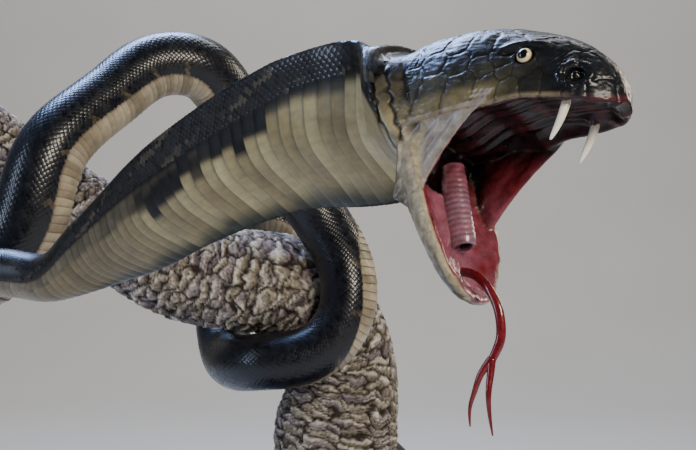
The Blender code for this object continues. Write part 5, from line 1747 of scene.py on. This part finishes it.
def fang_material():
    """Polished tooth enamel over dentine.

    Ivory at the root, whiter and slightly clear towards the tip, with a fine uneven grain.
    """
    made, tree, shader, place = fresh_material("fang_enamel", {
        "IOR": 1.62, "Coat Weight": 0.4, "Coat Roughness": 0.06,
        "Subsurface Weight": 0.15, "Subsurface Scale": 0.0008,
    })
    way = add_node(tree, "ShaderNodeAttribute", {"attribute_name": "way"}).outputs["Fac"]
    grain = add_node(tree, "ShaderNodeTexNoise", {"Scale": 600.0, "Detail": 4.0}, {"Vector": place})
    mix = add_node(tree, "ShaderNodeMath", {"operation": "MULTIPLY_ADD", 1: 0.25}, {0: grain, 2: way})
    add_node(tree, "ShaderNodeValToRGB", {"stops": ((0.0, "cbb48a"), (0.25, "efe6cd"), (1.0, "fbf8ee"))},
             {"Fac": mix}, shader["Base Color"])
    add_node(tree, "ShaderNodeMapRange", {"To Min": 0.14, "To Max": 0.34}, {"Value": grain},
        shader["Roughness"])
    return made


def flesh_material():
    """Moist mucous membrane of gums and windpipe.

    Soft, finely folded flesh under a film of saliva, with small bright glints.
    """
    return clouded("moist_membrane", {"IOR": 1.40, "Coat Weight": 0.8, "Coat Roughness": 0.12,
                                      "Subsurface Weight": 0.12, "Subsurface Scale": 0.001},
                   260.0, (0.70, 1.25), (0.24, 0.46), 800.0, (0.35, 0.0003))[0]


def tongue_material():
    """Moist tongue flesh.

    Deep blood red with a slimy film and darker clouds.
    """
    return clouded("tongue_flesh", {"IOR": 1.40, "Coat Weight": 0.9, "Coat Roughness": 0.08,
                                    "Subsurface Weight": 0.08, "Subsurface Scale": 0.001},
                   320.0, (0.55, 1.35), (0.20, 0.42), 900.0, (0.30, 0.0003))[0]


def bark_material():
    """Dry weathered bark that flakes in plates.

    Rough and matt, grey brown with mauve; the tint adds a painted highlight where a plate's edge lifts and
    painted shade where it sinks.
    """
    return clouded("flaky_bark", {"IOR": 1.45, "Specular IOR Level": 0.25},
                   190.0, (0.50, 1.55), (0.72, 0.98), 520.0, (0.9, 0.0012))[0]


def sawn_material():
    """Sawn end grain of a hardwood, left dry.

    Pale brown growth rings about 3 mm apart, drifting a little, with rough cut fibres.
    """
    made, tree, shader, place = fresh_material("sawn_hardwood", {"IOR": 1.45, "Specular IOR Level": 0.3})
    pith = add_node(tree, "ShaderNodeAttribute", {"attribute_name": "from_pith"}).outputs["Fac"]
    drift = add_node(tree, "ShaderNodeTexNoise", {"Scale": 45.0, "Detail": 3.0}, {"Vector": place})
    moved = add_node(tree, "ShaderNodeMath", {"operation": "MULTIPLY_ADD", 1: 0.006}, {0: drift, 2: pith})
    rings = add_node(tree, "ShaderNodeMath", {"operation": "MULTIPLY", 1: 2.0 * math.pi / 0.003},
        {0: moved})
    wave = add_node(tree, "ShaderNodeMath", {"operation": "SINE"}, {0: rings})
    fibre = add_node(tree, "ShaderNodeTexNoise", {"Scale": 900.0, "Detail": 5.0}, {"Vector": place})
    both = add_node(tree, "ShaderNodeMath", {"operation": "MULTIPLY_ADD", 1: 0.35}, {0: wave, 2: fibre})
    add_node(tree, "ShaderNodeValToRGB", {"stops": ((0.15, "7d5b3a"), (0.85, "c8a578"))},
             {"Fac": both}, shader["Base Color"])
    add_node(tree, "ShaderNodeMapRange", {"To Min": 0.6, "To Max": 0.85}, {"Value": fibre},
        shader["Roughness"])
    add_node(tree, "ShaderNodeBump", {"Strength": 0.3, "Distance": 0.0004}, {"Height": both},
        shader["Normal"])
    return made


def base_material():
    """Mild steel plate under black powder paint.

    Matt black with the fine orange peel of baked powder and a few duller rubs.
    """
    made, tree, shader, place = fresh_material("powder_coated_steel",
        {"IOR": 1.5, "Specular IOR Level": 0.45})
    peel = add_node(tree, "ShaderNodeTexNoise", {"Scale": 1100.0, "Detail": 2.0}, {"Vector": place})
    rub = add_node(tree, "ShaderNodeTexNoise", {"Scale": 22.0, "Detail": 6.0, "Roughness": 0.7},
        {"Vector": place})
    add_node(tree, "ShaderNodeValToRGB", {"stops": ((0.35, "1b1b1c"), (0.75, "2a2a2b"))},
             {"Fac": rub}, shader["Base Color"])
    add_node(tree, "ShaderNodeMapRange", {"From Min": 0.3, "From Max": 0.7, "To Min": 0.42, "To Max": 0.60},
             {"Value": rub}, shader["Roughness"])
    add_node(tree, "ShaderNodeBump", {"Strength": 0.15, "Distance": 0.0003}, {"Height": peel},
        shader["Normal"])
    return made


def rod_material():
    """Stainless steel rod, drawn and brushed round.

    Bright metal with fine circular brush lines that stretch its highlights.
    """
    made, tree, shader, place = fresh_material("brushed_stainless_rod", {"Metallic": 1.0})
    stretch = add_node(tree, "ShaderNodeMapping", {"Scale": (30.0, 30.0, 2600.0)}, {"Vector": place})
    lines = add_node(tree, "ShaderNodeTexNoise", {"Scale": 1.0, "Detail": 4.0}, {"Vector": stretch})
    add_node(tree, "ShaderNodeValToRGB", {"stops": ((0.0, "8d8f92"), (1.0, "c3c5c8"))},
             {"Fac": lines}, shader["Base Color"])
    add_node(tree, "ShaderNodeMapRange", {"From Min": 0.3, "From Max": 0.7, "To Min": 0.22, "To Max": 0.42},
             {"Value": lines}, shader["Roughness"])
    add_node(tree, "ShaderNodeBump", {"Strength": 0.12, "Distance": 0.0002}, {"Height": lines},
        shader["Normal"])
    return made


def floor_material():
    """Plain pale studio floor, rolled paint on board."""
    made, tree, shader, place = fresh_material("studio_floor_paint",
        {"Specular IOR Level": 0.2, "Roughness": 0.85})
    cloud = add_node(tree, "ShaderNodeTexNoise", {"Scale": 3.0, "Detail": 3.0}, {"Vector": place})
    add_node(tree, "ShaderNodeValToRGB", {"stops": ((0.0, "c9c6c0"), (1.0, "d2cfc9"))},
             {"Fac": cloud}, shader["Base Color"])
    return made


def soft_light(name, place, target, size, power, colour):
    """A soft box that faces a target."""
    light = bpy.data.lights.new(name, "AREA")
    light.shape = "RECTANGLE"
    light.size, light.size_y = size
    light.energy = power
    light.color = hex_colour(colour)
    lamp = bpy.data.objects.new(name, light)
    lamp.location = place
    lamp.rotation_euler = (Vector(target) - Vector(place)).to_track_quat("-Z", "Y").to_euler()
    bpy.context.scene.collection.objects.link(lamp)


def build_stage():
    """Floor that curves up behind, soft boxes, plain world and the camera."""
    width = 6.0
    turn = np.linspace(0.0, math.pi / 2.0, 25)
    y = np.concatenate([[-4.0, 0.0, 1.6], 2.2 + 1.2 * np.sin(turn), [3.4]])
    z = np.concatenate([[0.0, 0.0, 0.0], 1.2 * (1.0 - np.cos(turn)), [4.5]])
    points = [(side * width, b, c) for b, c in zip(y, z) for side in (-1.0, 1.0)]
    quads = np.array([(2 * i, 2 * i + 1, 2 * i + 3, 2 * i + 2) for i in range(len(y) - 1)])
    floor = mesh_piece("studio_floor", np.array(points) - (0.0, 0.0, 0.0002), [quads], floor_material)

    world = bpy.data.worlds.new("studio_world")
    world.use_nodes = True
    world.node_tree.nodes["Background"].inputs["Color"].default_value = (*hex_colour("c3cddd"), 1.0)
    world.node_tree.nodes["Background"].inputs["Strength"].default_value = 0.15
    bpy.context.scene.world = world
    middle = (-0.05, -0.25, 0.5)
    soft_light("key_box", (0.75, -1.9, 1.25), middle, (0.6, 0.6), 30.0, "fff3e0")
    soft_light("sky_box", (-0.5, 0.55, 1.75), middle, (1.1, 0.5), 44.0, "9fc0ff")
    soft_light("side_box", (-1.7, -0.9, 0.9), middle, (0.3, 1.0), 9.0, "cfe0ff")
    soft_light("rim_box", (1.2, 0.5, 1.1), middle, (0.3, 0.8), 9.0, "fff0d8")
    soft_light("backdrop_box", (0.0, 1.2, 3.2), (0.0, 2.6, 0.3), (3.0, 0.8), 75.0, "ffffff")

    camera = bpy.data.cameras.new("photo_camera")
    camera.sensor_width = SENSOR_WIDTH
    camera.lens = SENSOR_WIDTH * LENS_PIXELS / PICTURE_WIDTH
    camera.clip_start = 0.02
    seat = bpy.data.objects.new("photo_camera", camera)
    seat.location = CAMERA_PLACE
    seat.rotation_euler = (math.radians(90.0), 0.0, 0.0)
    bpy.context.scene.collection.objects.link(seat)
    bpy.context.scene.camera = seat


SNAKE_COLOURS = (
    ("back", "Back scales", "0a0d16"),
    ("hood_back", "Back of the hood", "100e0c"),
    # Pale blotches of the hood, also the painted highlight on the ridges of the neck's folds
    ("hood_pale", "Pale blotches of the hood", "6d6450"),
    ("hood_olive", "Olive border of the hood's face", "3d382a"),
    ("bar", "Pale bars across the body", "8a7858"),
    ("hood_scute", "Hood scutes", "bdb184"),
    ("hood_scute_deep", "Hood scutes, deeper tone", "8c7d58"),
    # Dark scales of the hood's lower edge, with painted shade and a painted green reflection
    ("hood_edge_shade_and_reflection", "Lower edge of the hood", "262c18"),
    ("patch", "Dark patches of the hood", "0d0806"),
    ("belly", "Belly scutes at their ends", "a99d84"),
    ("belly_deep", "Belly scutes in their middle", "5d4f3c"),
    ("plate", "Head plates", "14161b"),
    ("plate_olive", "Head plates near the lips", "3f3d31"),
    ("lip", "Edge of the upper lip", "857a57"),
    # Near black: the seams between plates, and also painted shade in eye sockets, hollows, nostrils,
    # creases and the mouth's corner
    ("suture_and_shade", "Seams between the plates", "0b0b0d"),
    ("jaw", "Lower jaw", "b5a98c"),
    ("jaw_deep", "Lower jaw, deeper tone", "8a7d66"),
    ("jaw_mark", "Marks of the chin", "3a332a"),
    ("membrane", "Skin of the mouth's corner", "9a9690"),
    # Deeper membrane tone: random mottling, and painted shade in the fold valleys
    ("membrane_deep", "Same, in its folds", "716660"),
    # Roof of the mouth: dark flesh painted almost black as shade
    ("palate", "Roof of the mouth", "080203"),
    ("flesh", "Flesh inside the cheeks", "6b2229"),
    ("floor", "Floor of the mouth", "8a5263"),
    # Back of the throat: painted shade, near black
    ("throat", "Back of the throat", "0c0203"),
    ("windpipe", "Windpipe", "94798a"),
    ("tongue", "Tongue", "6c0a13"),
    ("bark", "Bark", "8f8474"),
    ("bark_mauve", "Bark, mauve plates", "867a7a"),
    # Painted highlight on the lifted edges of the bark's plates
    ("bark_painted_highlight", "Bark, lifted edges", "d6cfbf"),
    # Dark of the bark's cracks, used also as painted shade on the low side of the plates
    ("bark_crack_and_shade", "Cracks of the bark", "1c1512"),
)


class CobraColours(bpy.types.PropertyGroup):
    """Colours of the snake and the bark, as linear light."""


for key, label, text in SNAKE_COLOURS:
    CobraColours.__annotations__ = getattr(CobraColours, "__annotations__", {})
    CobraColours.__annotations__[key] = bpy.props.FloatVectorProperty(
        name=label, description="Colour of this part: " + label.lower(), subtype="COLOR", size=3,
        min=0.0, max=1.0, default=hex_colour(text))


class CobraSizes(bpy.types.PropertyGroup):
    """Sizes of the dressed model that a user may change."""

    head_grain: bpy.props.FloatProperty(
        name="Head grain", description="Distance between the points of the head's skin",
        unit="LENGTH", default=0.00048, min=0.0003, max=0.002)
    hood_scute_pitch: bpy.props.FloatProperty(
        name="Hood scutes", description="Distance between the scutes of the hood",
        unit="LENGTH", default=0.0091, min=0.004, max=0.02)
    body_scute_pitch: bpy.props.FloatProperty(
        name="Belly scutes", description="Distance between the scutes of the body",
        unit="LENGTH", default=BELLY_SCUTE_PITCH, min=0.003, max=0.02)


def chosen_colours():
    """The snake's colours by name."""
    return {key: np.array(getattr(bpy.context.scene.cobra_colours, key)) for key, _, _ in SNAKE_COLOURS}


BODY_NODES = ["body_%02d" % (i + 1) for i in range(12)] + ["tail_1", "tail_2"]


class COBRA_OT_skin(bpy.types.Operator):
    """Make the snake's one skin, with the head's plates and the open mouth."""

    bl_idname = "cobra.skin"
    bl_label = "Skin"

    def execute(self, context):
        skin = build_skin(kept(Hide), chosen_colours(), context.scene.cobra_sizes.head_grain)
        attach(skin, "root")
        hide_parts("head", "lower_jaw", "cheeks", "hood", *BODY_NODES)
        return {"FINISHED"}


class COBRA_OT_back_scales(bpy.types.Operator):
    """Lay the small overlapping scales over back and sides."""

    bl_idname = "cobra.back_scales"
    bl_label = "Back scales"

    def execute(self, context):
        looks = chosen_colours()
        hide = kept(Hide)
        marks = [FIRST_SCALE, SCUTE_CHANGE, 0.90, 1.38, 1.86, 2.34, hide.end - TAIL_SPACE]
        for number, (start, end) in enumerate(zip(marks[:-1], marks[1:])):
            piece = scale_piece(hide, looks, "back_scales_%d" % (number + 1), start, end, 40 + 3 * number)
            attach(piece, "root")
        return {"FINISHED"}


class COBRA_OT_belly_scutes(bpy.types.Operator):
    """Lay the wide scutes across the hood's face and the belly."""

    bl_idname = "cobra.belly_scutes"
    bl_label = "Belly scutes"

    def execute(self, context):
        looks = chosen_colours()
        hide = kept(Hide)
        sizes = context.scene.cobra_sizes
        hood = scute_piece(
            hide, looks, "hood_scutes", FIRST_SCUTE, SCUTE_CHANGE, sizes.hood_scute_pitch, 49, 71)
        body = scute_piece(
            hide, looks, "body_scutes", SCUTE_CHANGE, hide.end - TAIL_SPACE, sizes.body_scute_pitch, 15, 72)
        for piece in (hood, body):
            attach(piece, "root")
        return {"FINISHED"}


class COBRA_OT_eyes(bpy.types.Operator):
    """Make both eyes."""

    bl_idname = "cobra.eyes"
    bl_label = "Eyes"

    def execute(self, context):
        for side, node in ((-1.0, "eye_right"), (1.0, "eye_left")):
            piece = eyeball(node + "_ball", side)
            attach(piece, "root")
            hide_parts(node)
        return {"FINISHED"}


class COBRA_OT_fangs(bpy.types.Operator):
    """Make both fangs and their sheaths."""

    bl_idname = "cobra.fangs"
    bl_label = "Fangs"

    def execute(self, context):
        for side, node in ((-1.0, "fang_right"), (1.0, "fang_left")):
            piece = fang(node + "_enamel", side)
            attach(piece, "root")
            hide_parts(node)
            sheath = fang_sheath(node + "_sheath", side)
            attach(sheath, "root")
        return {"FINISHED"}


class COBRA_OT_mouth(bpy.types.Operator):
    """Make the windpipe's opening and the forked tongue."""

    bl_idname = "cobra.mouth"
    bl_label = "Windpipe and tongue"

    def execute(self, context):
        looks = chosen_colours()
        pipe = windpipe_piece(looks)
        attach(pipe, "root")
        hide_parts("windpipe")
        tongue = tongue_piece(looks)
        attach(tongue, "root")
        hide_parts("tongue")
        return {"FINISHED"}


class COBRA_OT_branch(bpy.types.Operator):
    """Carve the branch with its flaky bark and sawn ends."""

    bl_idname = "cobra.branch"
    bl_label = "Branch"

    def execute(self, context):
        bark, ends = bark_piece(chosen_colours())
        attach(bark, "root")
        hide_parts("branch")
        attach(ends, "root")
        return {"FINISHED"}


class COBRA_OT_stand(bpy.types.Operator):
    """Finish the display stand's base and rods."""

    bl_idname = "cobra.stand"
    bl_label = "Stand"

    def execute(self, context):
        finishes = {"stand_base": base_material}
        finishes["stand_rod_1"] = finishes["stand_rod_2"] = rod_material
        for node, finish in finishes.items():
            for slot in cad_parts[node].material_slots:
                slot.material = kept(finish)
        return {"FINISHED"}


class COBRA_OT_stage(bpy.types.Operator):
    """Set the floor, the lights and the camera."""

    bl_idname = "cobra.stage"
    bl_label = "Stage"

    def execute(self, context):
        build_stage()
        return {"FINISHED"}


class COBRA_PT_panel(bpy.types.Panel):
    """Lists the steps that build the display model."""

    bl_idname = "COBRA_PT_panel"
    bl_label = "King Cobra"
    bl_space_type = "VIEW_3D"
    bl_region_type = "UI"
    bl_category = "Cobra"

    def draw(self, context):
        for group in (context.scene.cobra_sizes, context.scene.cobra_colours):
            for name in group.bl_rna.properties.keys():
                if name not in ("rna_type", "name"):
                    self.layout.prop(group, name)
        for step in STEPS:
            self.layout.operator(step.bl_idname)


STEPS = (
    COBRA_OT_skin, COBRA_OT_back_scales, COBRA_OT_belly_scutes, COBRA_OT_eyes, COBRA_OT_fangs,
    COBRA_OT_mouth, COBRA_OT_branch, COBRA_OT_stand, COBRA_OT_stage,
)
CLASSES = (CobraColours, CobraSizes, *STEPS, COBRA_PT_panel)


def register():
    """Make the properties, steps and panel known."""
    KEPT.clear()
    for item in CLASSES:
        bpy.utils.register_class(item)
    bpy.types.Scene.cobra_colours = bpy.props.PointerProperty(type=CobraColours)
    bpy.types.Scene.cobra_sizes = bpy.props.PointerProperty(type=CobraSizes)


def unregister():
    """Take them away again."""
    del bpy.types.Scene.cobra_sizes
    del bpy.types.Scene.cobra_colours
    for item in reversed(CLASSES):
        bpy.utils.unregister_class(item)


def main():
    """Build every piece in order."""
    register()
    bpy.ops.cobra.stage()
    bpy.ops.cobra.stand()
    bpy.ops.cobra.branch()
    bpy.ops.cobra.skin()
    bpy.ops.cobra.back_scales()
    bpy.ops.cobra.belly_scutes()
    bpy.ops.cobra.eyes()
    bpy.ops.cobra.fangs()
    bpy.ops.cobra.mouth()


if __name__ == "__main__":
    main()
